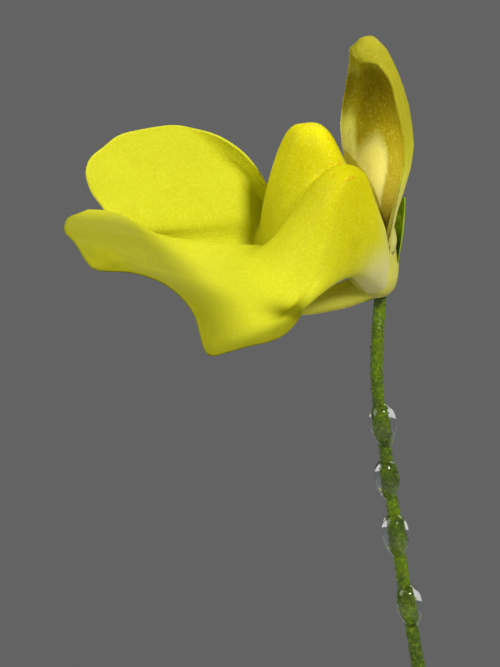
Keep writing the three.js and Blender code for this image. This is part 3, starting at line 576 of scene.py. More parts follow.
def petal_material(settings):
    """Yellow petal: paler throat and chin, deeper palate with orange specks, fine veins and cells; painted
    shade under the hood and on the lower lip, painted light in part of the cream patch, and painted glints.
    """
    made, nodes, shader, place = material("petal")
    zones, tones = nodes.held("zones").outputs, nodes.held("tones").outputs
    palate, pale, hood = nodes.split(zones["Color"])
    dark, cream_and_painted_light, painted_shade = nodes.split(tones["Color"])
    ray = nodes.held("ray").outputs["Fac"]
    cells = skin(nodes, place, 15000.0, 420.0, 0.09)
    wobble = nodes.noise(place, 900.0, 2.0)
    lines = nodes.math("SINE", nodes.plus(nodes.times(ray, 74.0),
                                          nodes.times(wobble, 9.0)))
    vein = nodes.times(nodes.between(lines, 0.8, 1.0), nodes.between(zones["Alpha"], 0.12, 0.5))
    specks = nodes.times(nodes.between(nodes.noise(place, 2600.0, 2.0, 0.6, 1.2), 0.6, 0.72),
                        tones["Alpha"])
    deeper = nodes.times(nodes.between(nodes.noise(place, 700.0, 2.0), 0.45, 0.7), 0.5)
    humps = nodes.mix(deeper, tuple(settings.palate), tuple(part * 0.78 for part in settings.palate))
    paint = nodes.mix(palate, tuple(settings.petal), humps)
    paint = nodes.mix(hood, paint, tuple(settings.hood))
    paint = nodes.mix(pale, paint, tuple(settings.throat))
    # cream: partly the paler tissue inside the upper lip, partly painted light
    paint = nodes.mix(cream_and_painted_light, paint, tuple(settings.cream_and_painted_light))
    # painted shade in the hollow under the hood
    paint = nodes.mix(nodes.times(dark, 0.93), paint, tuple(settings.dark))
    # painted shade on the lower lip's low edge and middle lobe, and a painted shadow in the spot beside the
    # spur
    paint = nodes.mix(nodes.times(painted_shade, 0.85, clamp=True), paint, SHADE_PAINT)
    paint = nodes.mix(nodes.times(vein, 0.1), paint, VEIN_PAINT)
    paint = nodes.mix(nodes.times(specks, 0.6), paint, SPECK_PAINT)
    glint = nodes.times(cells["Glint"], nodes.math("SUBTRACT", 0.1, nodes.times(painted_shade, 0.1)))
    paint = nodes.mix(glint, paint, GLINT_PAINT)
    paint = shaded(nodes, paint, cells["Shade"])
    painted(nodes, shader, paint, 0.5)
    shader.inputs["Specular IOR Level"].default_value = 0.07
    bumped(nodes, shader, cells["Height"], 0.00003, 0.25)
    lit_through(made, nodes, shader, paint, nodes.plus(0.3, nodes.times(cream_and_painted_light, 0.45)))
    return made


def green_material(name, paint):
    """Green skin of stems, calyx and leaves, uneven in tone, with fine cells."""
    deep, cell_scale, through, roughness = GREEN_SKINS[name]
    made, nodes, shader, place = material(name)
    cells = skin(nodes, place, cell_scale, 260.0, 0.35)
    blotch = nodes.noise(place, 900.0, 4.0)
    tone = nodes.mix(nodes.between(blotch, 0.38, 0.66), deep, tuple(paint))
    tone = nodes.mix(nodes.times(cells["Glint"], 0.35), tone, tuple(min(1, 1.9 * part) for part in paint))
    tone = shaded(nodes, tone, cells["Shade"])
    painted(nodes, shader, tone, roughness)
    shader.inputs["Specular IOR Level"].default_value = 0.2
    bumped(nodes, shader, cells["Height"], 0.00004, 0.6)
    lit_through(made, nodes, shader, tone, through)
    return made


def water_material():
    """Clear water."""
    made, nodes, shader, _ = material("water")
    painted(nodes, shader, colour((1, 1, 1)), 0.0)
    shader.inputs["IOR"].default_value = 1.333
    shader.inputs["Transmission Weight"].default_value = 1.0
    return made


def trap_material():
    """Glassy green bladder skin with a dark patch of what it has caught."""
    made, nodes, shader, place = material("bladder")
    caught = nodes.between(nodes.noise(place, 1700.0, 2.0), 0.5, 0.62)
    paint = nodes.mix(caught, BAG_PAINT, CAUGHT_PAINT)
    painted(nodes, shader, paint, 0.18)
    bumped(nodes, shader, nodes.cells(place, 9000.0), 0.00002, 0.5)
    lit_through(made, nodes, shader, paint, 0.3)
    return made


def soil_material(settings):
    """Moist peat and sand: dark brown crumbs, black wet hollows and pale grains."""
    made, nodes, shader, place = material("soil")
    coarse = nodes.noise(place, 500.0, 8.0, 0.68)
    grains = nodes.cells(place, 2600.0)
    paint = nodes.mix(nodes.between(coarse, 0.35, 0.68), WET_PAINT, tuple(settings.peat))
    sand = nodes.times(nodes.between(grains, 0.22, 0.12), nodes.between(
        nodes.noise(place, 4200.0, 1.0), 0.5, 0.6))
    paint = nodes.mix(sand, paint, tuple(settings.sand))
    film = nodes.times(nodes.between(nodes.noise(place, 90.0, 5.0, 0.6), 0.5, 0.66), 0.7)
    paint = nodes.mix(film, paint, FILM_PAINT)
    painted(nodes, shader, paint, nodes.between(coarse, 0.3, 0.7, 0.45, 0.95))
    height = nodes.plus(nodes.times(coarse, 0.7), nodes.times(grains, -0.3))
    bumped(nodes, shader, height, 0.0007, 0.9)
    return made


def grain_material(name, dark, light, roughness, scale):
    """Loose bits on the soil, each of its own tone."""
    made, nodes, shader, place = material(name)
    tone = nodes.noise(place, scale, 3.0, 0.6)
    paint = nodes.mix(nodes.between(tone, 0.35, 0.65), dark, light)
    painted(nodes, shader, paint, roughness)
    bumped(nodes, shader, nodes.noise(place, scale * 6, 4.0), 0.00012, 0.8)
    return made


def pot_material(settings):
    """Charcoal moulded plastic with fine grain, scuffs, dried dust near the foot and peat smears."""
    made, nodes, shader, place = material("pot_plastic")
    grain = nodes.noise(place, 5200.0, 2.0)
    spread = nodes.noise(place, 60.0, 5.0, 0.6)
    stretch = nodes.add("ShaderNodeMapping", {"Vector": place, "Scale": (1.0, 1.0, 0.12)})
    scratch = nodes.noise(stretch.outputs[0], 1500.0, 3.0, 0.7)
    scuffs = nodes.times(nodes.between(scratch, 0.6, 0.68), nodes.between(spread, 0.45, 0.6))
    height = nodes.add("ShaderNodeSeparateXYZ")
    nodes.put(height.inputs[0], place)
    low = nodes.between(height.outputs["Z"], 0.012, 0.0)
    inside = nodes.between(height.outputs["Z"], 0.0435, 0.046)
    dust = nodes.times(nodes.between(spread, 0.42, 0.7), nodes.plus(0.25, low, clamp=True))
    paint = nodes.mix(nodes.times(scuffs, 0.5), tuple(settings.plastic), SCUFF_PAINT)
    paint = nodes.mix(nodes.times(dust, 0.35), paint, DUST_PAINT)
    splash = nodes.times(inside, nodes.between(nodes.noise(place, 320.0, 5.0, 0.7), 0.55, 0.66))
    paint = nodes.mix(nodes.times(splash, 0.7), paint, SPLASH_PAINT)
    rough = nodes.plus(nodes.times(dust, 0.3), nodes.plus(0.36, nodes.times(scuffs, 0.25)), clamp=True)
    painted(nodes, shader, paint, rough)
    bumped(nodes, shader, grain, 0.00005, 0.5)
    return made


# Flower shapes

def bend(side, up, start, width, angle):
    """Bends what lies beyond start on one side by an angle, without changing its length."""
    past = np.maximum(side - start, 0)
    inner = np.minimum(past, width)
    curl = angle / width
    turned = curl * inner
    run = start + np.sin(turned) / curl + (past - inner) * math.cos(angle)
    rise = (1 - np.cos(turned)) / curl + (past - inner) * math.sin(angle)
    return np.where(side > start, run, side) - up * np.sin(turned), up * np.cos(turned) + rise


def hump(forward, side, middle):
    """One of the palate's two humps, 1 at its top: steep in front, gentler towards the mouth."""
    ahead = forward - PALATE_FORWARD
    (front, outer), steepness = (LEFT_SIZE, LEFT_FRONT) if middle > 0 else (RIGHT_SIZE, RIGHT_FRONT)
    length = np.where(ahead > 0, front, PALATE_BACK)
    power = np.where(ahead > 0, steepness, BACK_STEEPNESS)
    outward = (side - middle) * np.sign(middle)
    width = np.where(outward > 0, outer, PALATE_INNER)
    depth = (np.abs(ahead) / length) ** power + (np.abs(outward) / width) ** SIDE_STEEPNESS
    return np.exp(-HALF_DEPTH * depth)


def lip_level(forward, side, left):
    """How high the lower lip lies before its sides are bent, without the palate."""
    rise = RISE_SLOPE / RISE_SOFTNESS * np.log1p(np.exp((forward - RISE_FROM) * RISE_SOFTNESS))
    arch = ARCH_RISE * smooth(*ARCH_FORWARD, forward) * (1 - smooth(*ARCH_SIDE, side))
    ridge = RIDGE_RISE * smooth(*RIDGE_FORWARD, forward) * smooth(*RIDGE_INNER, side) * (
        1 - smooth(*RIDGE_OUTER, side))
    groove = GROOVE_DEPTH * np.exp(-((side - GROOVE_SIDE) / GROOVE_WIDTH) ** 2) * smooth(
        *GROOVE_FORWARD, forward)
    tip = TIP_DROP * smooth(*TIP_FORWARD, forward) * smooth(*TIP_SIDE, side)
    corner = CORNER_DROP * smooth(*CORNER_FORWARD, forward) * smooth(*CORNER_SIDE, side)
    return rise + arch + np.where(left, -tip - corner, ridge - groove)


def tucked(forward, across, height, reach, share, left):
    """Beside the mouth the cheek comes round and down over the cup and the spur."""
    tuck = np.where(left, 1 - smooth(*TUCK_LEFT, reach), 1 - smooth(*TUCK_RIGHT, reach))
    higher = left * smooth(*SPUR_SHOWS[0], reach) * (1 - smooth(*SPUR_SHOWS[1], reach))
    past = np.clip((share - TUCK_FROM) / (1 - TUCK_FROM), 0, 1)
    end_forward = np.maximum(reach - TUCK_BACK, TUCK_LEAST * reach)
    end_across = TUCK_SIDE + TUCK_SPREAD * np.clip(reach - TUCK_OUT, 0, None) ** 2
    end_height = smooth(*TUCK_RISE, reach) + TUCK_LOW + MARGIN_HIGHER * higher - LIP_UP
    forward = forward + (end_forward - forward) * tuck * past ** 2
    across = across + (end_across - across) * tuck * past ** 3
    height = height + (end_height - height) * tuck * past ** 1.4
    height = height + FLANK_HIGHER * higher * smooth(0.45, 0.9, share) * (1 - smooth(0.9, 1, share))
    return forward, across, height


def lower_lip(plant, turn, share, seed):
    """Points of the lower lip at turns round the mouth and shares out to the margin, and its humps."""
    left = turn >= 0
    sign = np.where(left, 1.0, -1.0)
    part = np.abs(turn) / (LOWER_SHARE * math.pi)
    part = 1 - np.clip(1 - part, 0, 1) ** CORNER_DENSITY
    edge = np.where(left[..., None], even_spline(LEFT_MARGIN, part), even_spline(RIGHT_MARGIN, part))
    frill = (0.008 * ripple(seed, turn * 4, turn * 0, 1.6)
             + 0.004 * ripple(seed + 1, turn * 4, turn * 0, 0.6))
    edge = edge * (1 + frill * smooth(0.02, 0.2, 1 - part))[..., None]
    ring_forward = RING_FORWARD + RING_RADIUS * np.cos(turn)
    ring_side = RING_RADIUS * np.abs(np.sin(turn))
    grown = share ** 1.1
    forward = ring_forward + (edge[..., 0] - ring_forward) * grown
    side = ring_side + (edge[..., 1] - ring_side) * grown
    clear = smooth(0, 0.6, np.hypot(forward - RING_FORWARD, side) - RING_RADIUS)
    humps = np.cbrt(hump(forward, side * sign, PALATE_LEFT) ** 3
                    + (RIGHT_HUMP / LEFT_HUMP * hump(forward, side * sign, PALATE_RIGHT)) ** 3)
    outward = np.clip((share - 0.45) / 0.55, 0, 1) ** 2.2 * smooth(0.3, 0.9, edge[..., 1])
    reach = edge[..., 0]
    lift = MARGIN_LIFT * (2 - smooth(*LIFT_ENDS[0], reach) - smooth(*LIFT_ENDS[1], reach))
    forward = forward + np.where(left, 0, RIGHT_LEAN * humps * (1.4 - humps) * smooth(0.2, 0.9, side))
    waves = WAVE_HEIGHT * ripple(seed + 2, forward, side * sign, LOWER_WAVE) * smooth(2.5, 6, forward + side)
    up = lip_level(forward, side, left) + LEFT_HUMP * humps * (1 - outward) + lift * outward + waves
    up = RING_UP + (up + LIP_UP - RING_UP) * clear - LIP_UP
    start = np.where(left, LEFT_BEND_START,
                     RIGHT_BEND_START + RIGHT_BEND_LATER * (1 - smooth(*RIGHT_BEND_ENDS, forward)))
    on_left = bend(side, up, start, LEFT_BEND, math.radians(plant["left"]))
    on_right = bend(side, up, start, RIGHT_BEND, math.radians(plant["right"]))
    across, height = (np.where(left, one, other) for one, other in zip(on_left, on_right))
    forward, across, height = tucked(forward, across, height, reach, share, left)
    return np.stack([forward, across * sign, height + LIP_UP], axis=-1), humps * (1 - outward)


def hood_margin():
    """The margin of half the upper lip as half width and length along it, from the mouth's corner."""
    widths = [(row[6], row[0]) for row in HOOD_LEVELS[2:-1]] + [(0, HOOD_LEVELS[-1][0])]
    return even_spline(widths, np.linspace(0, 1, 200))


def upper_lip(turn, share, seed):
    """Points of the upper lip: an upright gutter whose tip rolls forward into a small hood."""
    left = turn >= 0
    sign = np.where(left, 1.0, -1.0)
    from_corner = np.clip((np.abs(turn) / math.pi - LOWER_SHARE) / (1 - LOWER_SHARE), 0, 1)
    edge = even_spline(hood_margin(), from_corner)
    ring_side = RING_RADIUS * np.abs(np.sin(turn))
    side = ring_side + (edge[..., 0] - ring_side) * share
    length = RING_UP + (edge[..., 1] - RING_UP) * share
    up, back, edge_up, on_left, on_right, half = (
        np.interp(length, HOOD_LEVELS[:, 0], HOOD_LEVELS[:, k]) for k in range(1, 7))
    across = np.clip(side / half, 0, 1) ** 3
    lip = smooth(0.8, 1, np.clip(side / half, 0, 1)) * smooth(1, 2.4, length)
    lip = lip * (1 - smooth(6.4, 7.6, length))
    gutter = back + (np.where(left, on_left, on_right) - back) * across - 0.1 * lip
    ring_forward = RING_FORWARD + RING_RADIUS * np.cos(turn)
    forward = ring_forward + (gutter - ring_forward) * smooth(0, 0.16, share)
    waves = WAVE_HEIGHT * ripple(seed + 5, side * sign, length, UPPER_WAVE) * smooth(0.15, 0.5, share)
    height = up + (edge_up - up) * across
    return np.stack([forward + waves, (side + 0.07 * lip) * sign, height], axis=-1)


def cup_rows(turn, rows):
    """Rows of the cup from its bottom to the ring at the mouth."""
    top = math.acos(RING_RADIUS / CUP_LENGTH)
    neck_height = (RING_UP - CUP_UP) / math.sin(top)
    made = []
    for row in range(rows):
        rise = -math.pi / 2 + (row + 0.35) / rows * (top + math.pi / 2)
        near_neck = smooth(0, top, rise)
        centre = CUP_FORWARD - 0.2 * smooth(0, -1.4, rise) + (RING_FORWARD - CUP_FORWARD) * near_neck
        width = CUP_WIDTH * math.cos(rise) * (1 - near_neck) + RING_RADIUS * near_neck
        height = CUP_UP + (CUP_HEIGHT if rise < 0 else neck_height) * math.sin(rise)
        made.append(np.stack([centre + CUP_LENGTH * math.cos(rise) * np.cos(turn), width * np.sin(turn),
                              np.full_like(turn, height)], axis=-1))
    return np.array(made)


def evened(sheet, weight, times, axis):
    """Evens a sheet out along its rows or its columns where it has weight."""
    for _ in range(times):
        beside = (np.roll(sheet, 1, axis) + np.roll(sheet, -1, axis)) / 2
        sheet = sheet + (beside - sheet) * weight[..., None]
    return sheet


def petal_marks(sheet, humps, upper, share):
    """What the petal's material reads: palate, pale, hood and share; then the hood's painted shade (dark),
    the cream that is partly painted light, the lower lip's painted shade, and specks.
    """
    forward, side, up = (sheet[..., k] for k in range(3))
    lower = 1 - upper
    palate = humps * lower * smooth(0.02, 0.12, share)
    chin = lower * (1 - smooth(*CHIN_SPREAD, np.hypot(forward - RING_FORWARD, side)))
    throat = upper * (1 - smooth(*THROAT_UP, up)) * smooth(-0.2, 0.35, THROAT_HALF - np.abs(side))
    low_cheek = lower * (1 - smooth(*LOW_CHEEK_UP, up)) * (1 - smooth(*LOW_CHEEK_FORWARD, forward))
    pale = np.clip(np.maximum(np.maximum(chin, THROAT_SHARE * throat), low_cheek), 0, 1)
    zones = np.stack([palate, pale, upper * smooth(*HOOD_UP, up), share], axis=-1)
    across = side / np.interp(up, HOOD_LEVELS[:, 1], HOOD_LEVELS[:, 6])
    gap = ROLL_GAP[2] * smooth(*ROLL_GAP[0], up) * (1 - smooth(*ROLL_GAP[1], up))
    roll = (1 - smooth(*ROLL_ACROSS, across)) * (1 - gap)
    # the keel and the rolled margin take the cream: partly paler tissue and partly painted light
    keel = smooth(0, 0.8, KEEL_UP - up - KEEL_SPREAD * np.abs(across - KEEL_ACROSS) ** 1.5)
    keel = keel * (1 - smooth(*KEEL_END, across))
    # the hollow inside the upper lip gets painted shade, kept off the keel and the rolled margin
    hollow = (1 - smooth(*HOLLOW_UP, up)) * (1 - smooth(*HOLLOW_ACROSS, across)) * smooth(*HOLLOW_FOOT, up)
    dark = upper * hollow * (1 - keel) * (1 - roll)
    pale_roll = roll * (0.75 - 0.5 * smooth(2.8, 4.4, up)) * (1 - smooth(*ROLL_UP, up))
    # painted shade along the lower lip's low edge and over its middle lobe, and a painted shadow in a spot
    # beside the spur
    low_edge = smooth(0.7, 1, share) * smooth(*LOW_EDGE_FORWARD, forward) * smooth(*LOW_EDGE_SIDE, side)
    middle_lobe = MIDDLE_SHADE * smooth(*MIDDLE_FORWARD, forward) * (1 - smooth(*MIDDLE_HALF, np.abs(side)))
    middle_lobe = middle_lobe * smooth(*MIDDLE_RIGHT, side)
    spot = SPOT_SHADE * np.exp(-(((forward - SPOT_AT[0]) / SPOT_SIZE[0]) ** 2
                                 + ((side - SPOT_AT[1]) / SPOT_SIZE[1]) ** 2))
    painted_shade = lower * np.maximum(np.maximum(low_edge, middle_lobe), spot)
    specks = lower * smooth(*SPECK_HUMP, humps) * (1 - smooth(*SPECK_FORWARD, forward))
    return zones, np.stack([dark, upper * np.maximum(keel, pale_roll), painted_shade, specks], axis=-1)


def petal_sheet(plant, columns, rows, cups, seed):
    """The corolla as one sheet from the bottom of the cup to the margin, with what its material reads."""
    turn = np.arange(columns) / columns * 2 * math.pi
    turn = np.where(turn > math.pi, turn - 2 * math.pi, turn)
    turns, share = np.meshgrid(turn, np.linspace(0, 1, rows) ** 1.12)
    part = np.abs(turns) / math.pi
    left = turns >= 0
    low, humps = lower_lip(plant, turns, share, seed)
    before_corner = 1 - smooth(*CORNER_PART, part)
    round_rows = np.where(left, smooth(0.18, 0.3, part), smooth(0.3, 0.42, part)) * smooth(0.03, 0.2, share)
    round_rows = round_rows * before_corner * (1 - 0.98 * smooth(0.85, 1, share))
    low = evened(low, round_rows / 2, round(EVEN_ROUND[0] * (columns / EVEN_ROUND[1]) ** 2), 1)
    across_rows = left * smooth(0.16, 0.2, part) * before_corner * smooth(0.28, 0.36, share)
    across_rows = across_rows * (1 - smooth(0.985, 1, share))
    low = evened(low, across_rows / 2, round(EVEN_ALONG[0] * (rows / EVEN_ALONG[1]) ** 2), 0)
    upper = smooth(*UPPER_PART, part)
    sheet = low * (1 - upper)[..., None] + upper_lip(turns, share, seed) * upper[..., None]
    zones, tones = petal_marks(sheet, humps, upper, share)
    cup_zones = np.zeros((cups, columns, 4))
    cup_zones[..., 1:3] = CUP_PALE, CUP_OLIVE
    ray = np.broadcast_to(part * np.where(turns < 0, -1, 1), share.shape)
    marks = (np.concatenate([cup_zones, zones]), np.concatenate([np.zeros((cups, columns, 4)), tones]),
             np.concatenate([np.zeros((cups, columns)), ray]))
    return np.concatenate([cup_rows(turn, cups), sheet]), *marks


def thick_sheet(sheet, thickness):
    """A closed wall from a sheet whose rows go round: its front, its back and the margin between."""
    rows, columns = sheet.shape[:2]
    along_rows = np.gradient(sheet, axis=0)
    round_rows = np.roll(sheet, -1, axis=1) - np.roll(sheet, 1, axis=1)
    normal = np.cross(along_rows, round_rows)
    length = np.linalg.norm(normal, axis=-1, keepdims=True)
    normal = normal / np.maximum(length, 1e-9)
    for _ in range(2):
        normal = normal + np.roll(normal, 1, axis=1) + np.roll(normal, -1, axis=1)
        normal /= np.maximum(np.linalg.norm(normal, axis=-1, keepdims=True), 1e-9)
    edge = np.linspace(0, 1, rows)[:, None, None]
    wall = thickness * (1 - 0.55 * smooth(0.9, 1.0, edge))
    front, back = sheet + normal * wall / 2, sheet - normal * wall / 2
    count = rows * columns
    points = np.vstack([front.reshape(-1, 3), back.reshape(-1, 3), front[0].mean(0), back[0].mean(0)])
    faces = grid_faces(rows, columns)
    every = faces.tolist() + (faces[:, ::-1] + count).tolist()
    last = (rows - 1) * columns
    for column in range(columns):
        after = (column + 1) % columns
        every.append([last + column, last + after, last + after + count, last + column + count])
        every.append([2 * count, after, column])
        every.append([2 * count + 1, column + count, after + count])
    return points, every


def doubled(values):
    """Values of a sheet's points for both its faces and their two poles."""
    flat = values.reshape(-1, values.shape[-1]) if values.ndim == 3 else values.reshape(-1, 1)
    return np.vstack([flat, flat, flat[:1], flat[:1]])


def flower_frame(plant):
    """How a flower's own axes lie in the row frame, as a matrix that turns row vectors."""
    turned = Euler((-math.radians(plant["roll"]), 0, math.radians(plant["heading"])), "XYZ").to_matrix()
    return np.array(turned).T


def to_world(plant, points):
    return np.asarray(points, float) * plant["size"] @ flower_frame(plant) + np.array(plant["flower"], float)


def corolla_piece(index, plant, settings, paint):
    """One flower: the petal sheet with its cup, and the spur beneath."""
    columns, rows, cups = PLAIN_COLUMNS, PLAIN_ROWS, PLAIN_CUP
    if index == 0:
        columns, rows, cups = settings.fine_columns, settings.fine_rows, FINE_CUP
    sheet, zones, tones, ray = petal_sheet(plant, columns, rows, cups, 40 + 10 * index)
    points, faces = thick_sheet(sheet, settings.thickness / MM)
    shells = Shells()
    tones = doubled(tones)
    # the back faces get neither the hood's painted shade nor the cream with its painted light
    tones[sheet.shape[0] * columns:, :2] = 0
    shells.add(to_world(plant, points), faces, zones=doubled(zones), tones=tones, ray=doubled(ray))
    shares = np.linspace(0, 1, 26)
    line = even_spline([(x, 0, z) for x, z in SPUR], shares)
    radii = np.interp(shares, np.linspace(0, 1, len(SPUR_RADII)), SPUR_RADII)
    radii[-6:] *= np.sin(np.linspace(math.pi * 0.5, 0.02, 6)) ** 0.6
    spur, spur_faces, _ = tube(to_world(plant, line), radii * plant["size"], 22)
    shells.add(spur, spur_faces, zones=np.tile(SPUR_ZONES, (len(spur), 1)), tones=np.zeros((len(spur), 4)),
               ray=np.zeros(len(spur)))
    finished(shells.piece(f"flower_{index + 1}", paint), (f"corolla_{index + 1}",))


def pistil_and_stamens(index, plant, paint):
    """The round ovary with its short stigma and the two curved stamens in the cup."""
    shells = Shells()
    parts = [ovoid(to_world(plant, (0.18, 0, -0.3)), (0, 0, 1), 0.24 * plant["size"], 0.26 * plant["size"])]
    stigma = to_world(plant, [(0.16, 0, -0.08), (0.14, 0, 0.12), (0.26, 0, 0.26)])
    parts.append(tube(along(curve_through(stigma, 6), np.linspace(0, 1, 8)), np.full(8, 0.07), 10))
    for side in (-1, 1):
        bow = to_world(plant, [(0.3, 0.18 * side, -0.4), (0.5, 0.3 * side, -0.1), (0.34, 0.14 * side, 0.2)])
        parts.append(tube(along(curve_through(bow, 6), np.linspace(0, 1, 8)), np.full(8, 0.045), 8))
        parts.append(ovoid(bow[2], (0, 1, 0.2), 0.09, 0.14, 12, 8))
    for points, faces, _ in parts:
        shells.add(points, faces)
    finished(shells.piece(f"pistil_and_stamens_{index + 1}", paint))


# Stems

def soil_height(x, y):
    waves = np.sin(x * 0.42 + 1.3) * np.cos(y * 0.37 - 0.4) + 0.6 * np.sin(x * 0.23 - y * 0.61)
    edge = np.maximum(np.abs(x), np.abs(y)) / wall_half(SOIL_TOP)
    return SOIL_TOP + RELIEF * waves - 0.5 * smooth(0.8, 1, edge)


def stem_line(plant, index, draw):
    """The dense middle line of a flowering stem, from its foot in the soil to the calyx."""
    x, y = plant["foot"]
    fx, fy, fz = plant["flower"]
    ground = float(soil_height(x, y))
    if index == 0:
        bends = [(fx + dx, fy + (y - fy) * abs(dz) / (fz - SOIL_TOP), fz + dz)
                 for dx, dz in reversed(BELOW_PHOTOGRAPHED_FLOWER)]
    else:
        bends = [(x + (fx - x) * share ** 1.3 + (draw() - 0.5) * 1.1,
                  y + (fy - y) * share ** 1.3 + (draw() - 0.5) * 1.1,
                  ground + (fz - ground) * share) for share in (0.2, 0.4, 0.6, 0.8, 0.92)]
    neck = to_world(plant, (PEDICEL_TOP[0] - 0.05, 0, PEDICEL_TOP[1] - 0.66))
    top = to_world(plant, (PEDICEL_TOP[0], 0, PEDICEL_TOP[1]))
    foot = (x, y, ground - HOLE_DEPTH + GAP)
    return curve_through([foot, (x, y, ground + 2), *bends, neck, top])


def scale_blade(line, share, turn, length):
    at = along(line, [share])[0]
    out = np.array((math.cos(turn), math.sin(turn), 0))
    across = (-math.sin(turn), math.cos(turn), 0)
    steps = np.linspace(0, 1, 7)[:, None]
    points = at + out * length * (0.05 + 0.3 * steps) + np.array((0, 0, length)) * steps
    return blade_shell(points, np.interp(steps[:, 0], (0, 0.5, 1), (0.28, 0.32, 0.04)), across, 0.12)


def side_stalk(line, share, turn, reach, radius):
    """A seed capsule or a bud on a short stalk of its own, and the scale beneath it."""
    at = along(line, [share])[0]
    out = np.array((math.cos(turn), math.sin(turn), 0))
    to = at + out * reach + np.array((0, 0, reach * 0.9))
    middle = (at + to) / 2 + out * reach * 0.12
    stalk = along(curve_through([at, middle, to], 12), np.linspace(0, 1, 14))
    centre = to + out * radius * 0.3
    parts = [tube(stalk, np.linspace(0.14, 0.2, 14), 12)[:2],
             ovoid(centre, (*out[:2], 1.2), radius * 0.92, radius * 1.05, 26, 16)[:2]]
    for lobe in (0.0, math.pi):
        lift = np.linspace(0, 1, 8)[:, None]
        swing = np.array((math.cos(turn + lobe + 1.57), math.sin(turn + lobe + 1.57), 0))
        sweep = np.sin(lift * 2.0) * radius * 1.1
        points = to - out * 0.1 + swing * sweep + np.array((0, 0, radius * 1.9)) * lift
        parts.append(blade_shell(points, np.interp(lift[:, 0], (0, 0.5, 1), (0.2, 0.55, 0.08)), out, 0.14))
    return parts


def sepal_shell(plant, outline, wrap):
    """A lobe of the calyx: an oval blade that curves round the flower by wrap."""
    shares = np.linspace(0, 1, 24)
    rows = even_spline(outline, shares)
    path = rows[:, :2]
    ahead = np.gradient(path, axis=0)
    ahead /= np.linalg.norm(ahead, axis=1)[:, None]
    inward = np.stack([ahead[:, 1], -ahead[:, 0]], axis=-1) * np.sign(wrap)
    places = np.linspace(-1, 1, 15)
    skins = []
    for side in (0, 1):
        dome = side * SEPAL_THICKNESS * np.sqrt(1 - 0.9 * places[None] ** 2)
        depth = abs(wrap) * places[None] ** 2 * rows[:, 2:3] + dome
        point = path[:, None] + inward[:, None] * depth[..., None]
        skins.append(np.stack([point[..., 0], places[None] * rows[:, 2:3], point[..., 1]], axis=-1))
    ring = np.concatenate([skins[0], skins[1][:, ::-1]], axis=1)
    points = np.vstack([ring.reshape(-1, 3), ring[0].mean(0), ring[-1].mean(0)])
    return to_world(plant, points), capped_faces(*ring.shape[:2])


def stem_piece(line, index, draw, paint):
    """A stem with its scales, and on all but the first its capsule."""
    shares = np.linspace(0, 1, 420)
    radii = np.interp(shares, (0, 0.5, 0.93, 0.97, 1), (
        STEM_FOOT_RADIUS, STEM_TOP_RADIUS + 0.05, STEM_TOP_RADIUS, STEM_TOP_RADIUS, STEM_TOP_RADIUS + 0.005))
    radii = radii * (1 + 0.02 * ripple(90 + index, shares * 300, shares * 0, 2.0))
    shells = Shells()
    points, faces, held = tube(along(line, shares), radii, 18, near=smooth(0.6, 0.85, shares))
    shells.add(points, faces, **held)
    for share in SCALES_AT:
        shells.add(*scale_blade(line, share, draw() * 2 * math.pi, SCALE_LENGTH))
    if index:
        for part in side_stalk(line, CAPSULE_AT, draw() * 2 * math.pi, 2, CAPSULE_RADIUS):
            shells.add(*part)
    return shells.piece(f"stem_{index + 1}", paint)


def calyx_piece(index, plant, paint):
    shells = Shells()
    shells.add(*sepal_shell(plant, UPPER_SEPAL, SEPAL_WRAP))
    shells.add(*sepal_shell(plant, LOWER_SEPAL, -SEPAL_WRAP))
    finished(shells.piece(f"calyx_{index + 1}", paint))


def bud_stem_piece(paint):
    """The young stem that ends in buds."""
    draw = seeded(400)
    ground = float(soil_height(*BUD_FOOT))
    points = [(BUD_FOOT[0] + (BUD_TOP[0] - BUD_FOOT[0]) * share ** 1.5,
               BUD_FOOT[1] + (BUD_TOP[1] - BUD_FOOT[1]) * share ** 1.5,
               ground - HOLE_DEPTH + GAP + (BUD_TOP[2] - ground) * share) for share in (0, 0.1, 0.4, 0.7, 1)]
    line = curve_through(points)
    shares = np.linspace(0, 1, 160)
    shells = Shells()
    stem = tube(along(line, shares), np.interp(shares, (0, 1), (STEM_FOOT_RADIUS, STEM_TOP_RADIUS)), 16,
                near=np.zeros(160))
    shells.add(stem[0], stem[1], **stem[2])
    shells.add(*ovoid(points[-1], (0.2, -0.5, 1), 0.56, 1.0, 24, 16, 0.15)[:2])
    for number, share in enumerate((0.86, 0.93)):
        for part in side_stalk(line, share, number * 2.6 + 0.7, 1.1, 0.75 - 0.15 * number):
            shells.add(*part)
    for share in (0.3, 0.6):
        shells.add(*scale_blade(line, share, draw() * 6, SCALE_LENGTH))
    return shells.piece(f"stem_{len(PLANTS) + 1}", paint)


def water_beads(line, plant, paint):
    """Beads of water that clasp the stem below the flower, each a little to one side."""
    for number, (below, lean, swell) in enumerate(BEADS):
        nearest = int(np.argmax(line[:, 2] >= plant["flower"][2] - below))
        axis = line[nearest + 4] - line[nearest - 4]
        centre = line[nearest] + np.array((lean, BEAD_FORWARD, 0))
        shells = Shells()
        shells.add(*ovoid(centre, axis, BEAD_RADIUS * swell, BEAD_HALF * swell, 48, 32, BEAD_SAG)[:2])
        finished(shells.piece(f"water_bead_{number + 1}", paint))


# Geometry node trees

def geometry_tree(name, inputs):
    """An empty geometry node tree with a geometry input and output and other named inputs."""
    tree = bpy.data.node_groups.new(name, "GeometryNodeTree")
    tree.interface.new_socket("Geometry", in_out="INPUT", socket_type="NodeSocketGeometry")
    for label, kind in inputs:
        tree.interface.new_socket(label, in_out="INPUT", socket_type=kind)
    tree.interface.new_socket("Geometry", in_out="OUTPUT", socket_type="NodeSocketGeometry")
    given, out = tree.nodes.new("NodeGroupInput"), tree.nodes.new("NodeGroupOutput")
    return tree, Nodes(tree), given.outputs, out.inputs


def finish_tree(nodes, given, out, instances):
    plain = nodes.add("GeometryNodeRealizeInstances", {0: instances})
    done = nodes.add("GeometryNodeSetMaterial", {"Geometry": plain.outputs[0], "Material": given["Material"]})
    nodes.put(out[0], done.outputs[0])


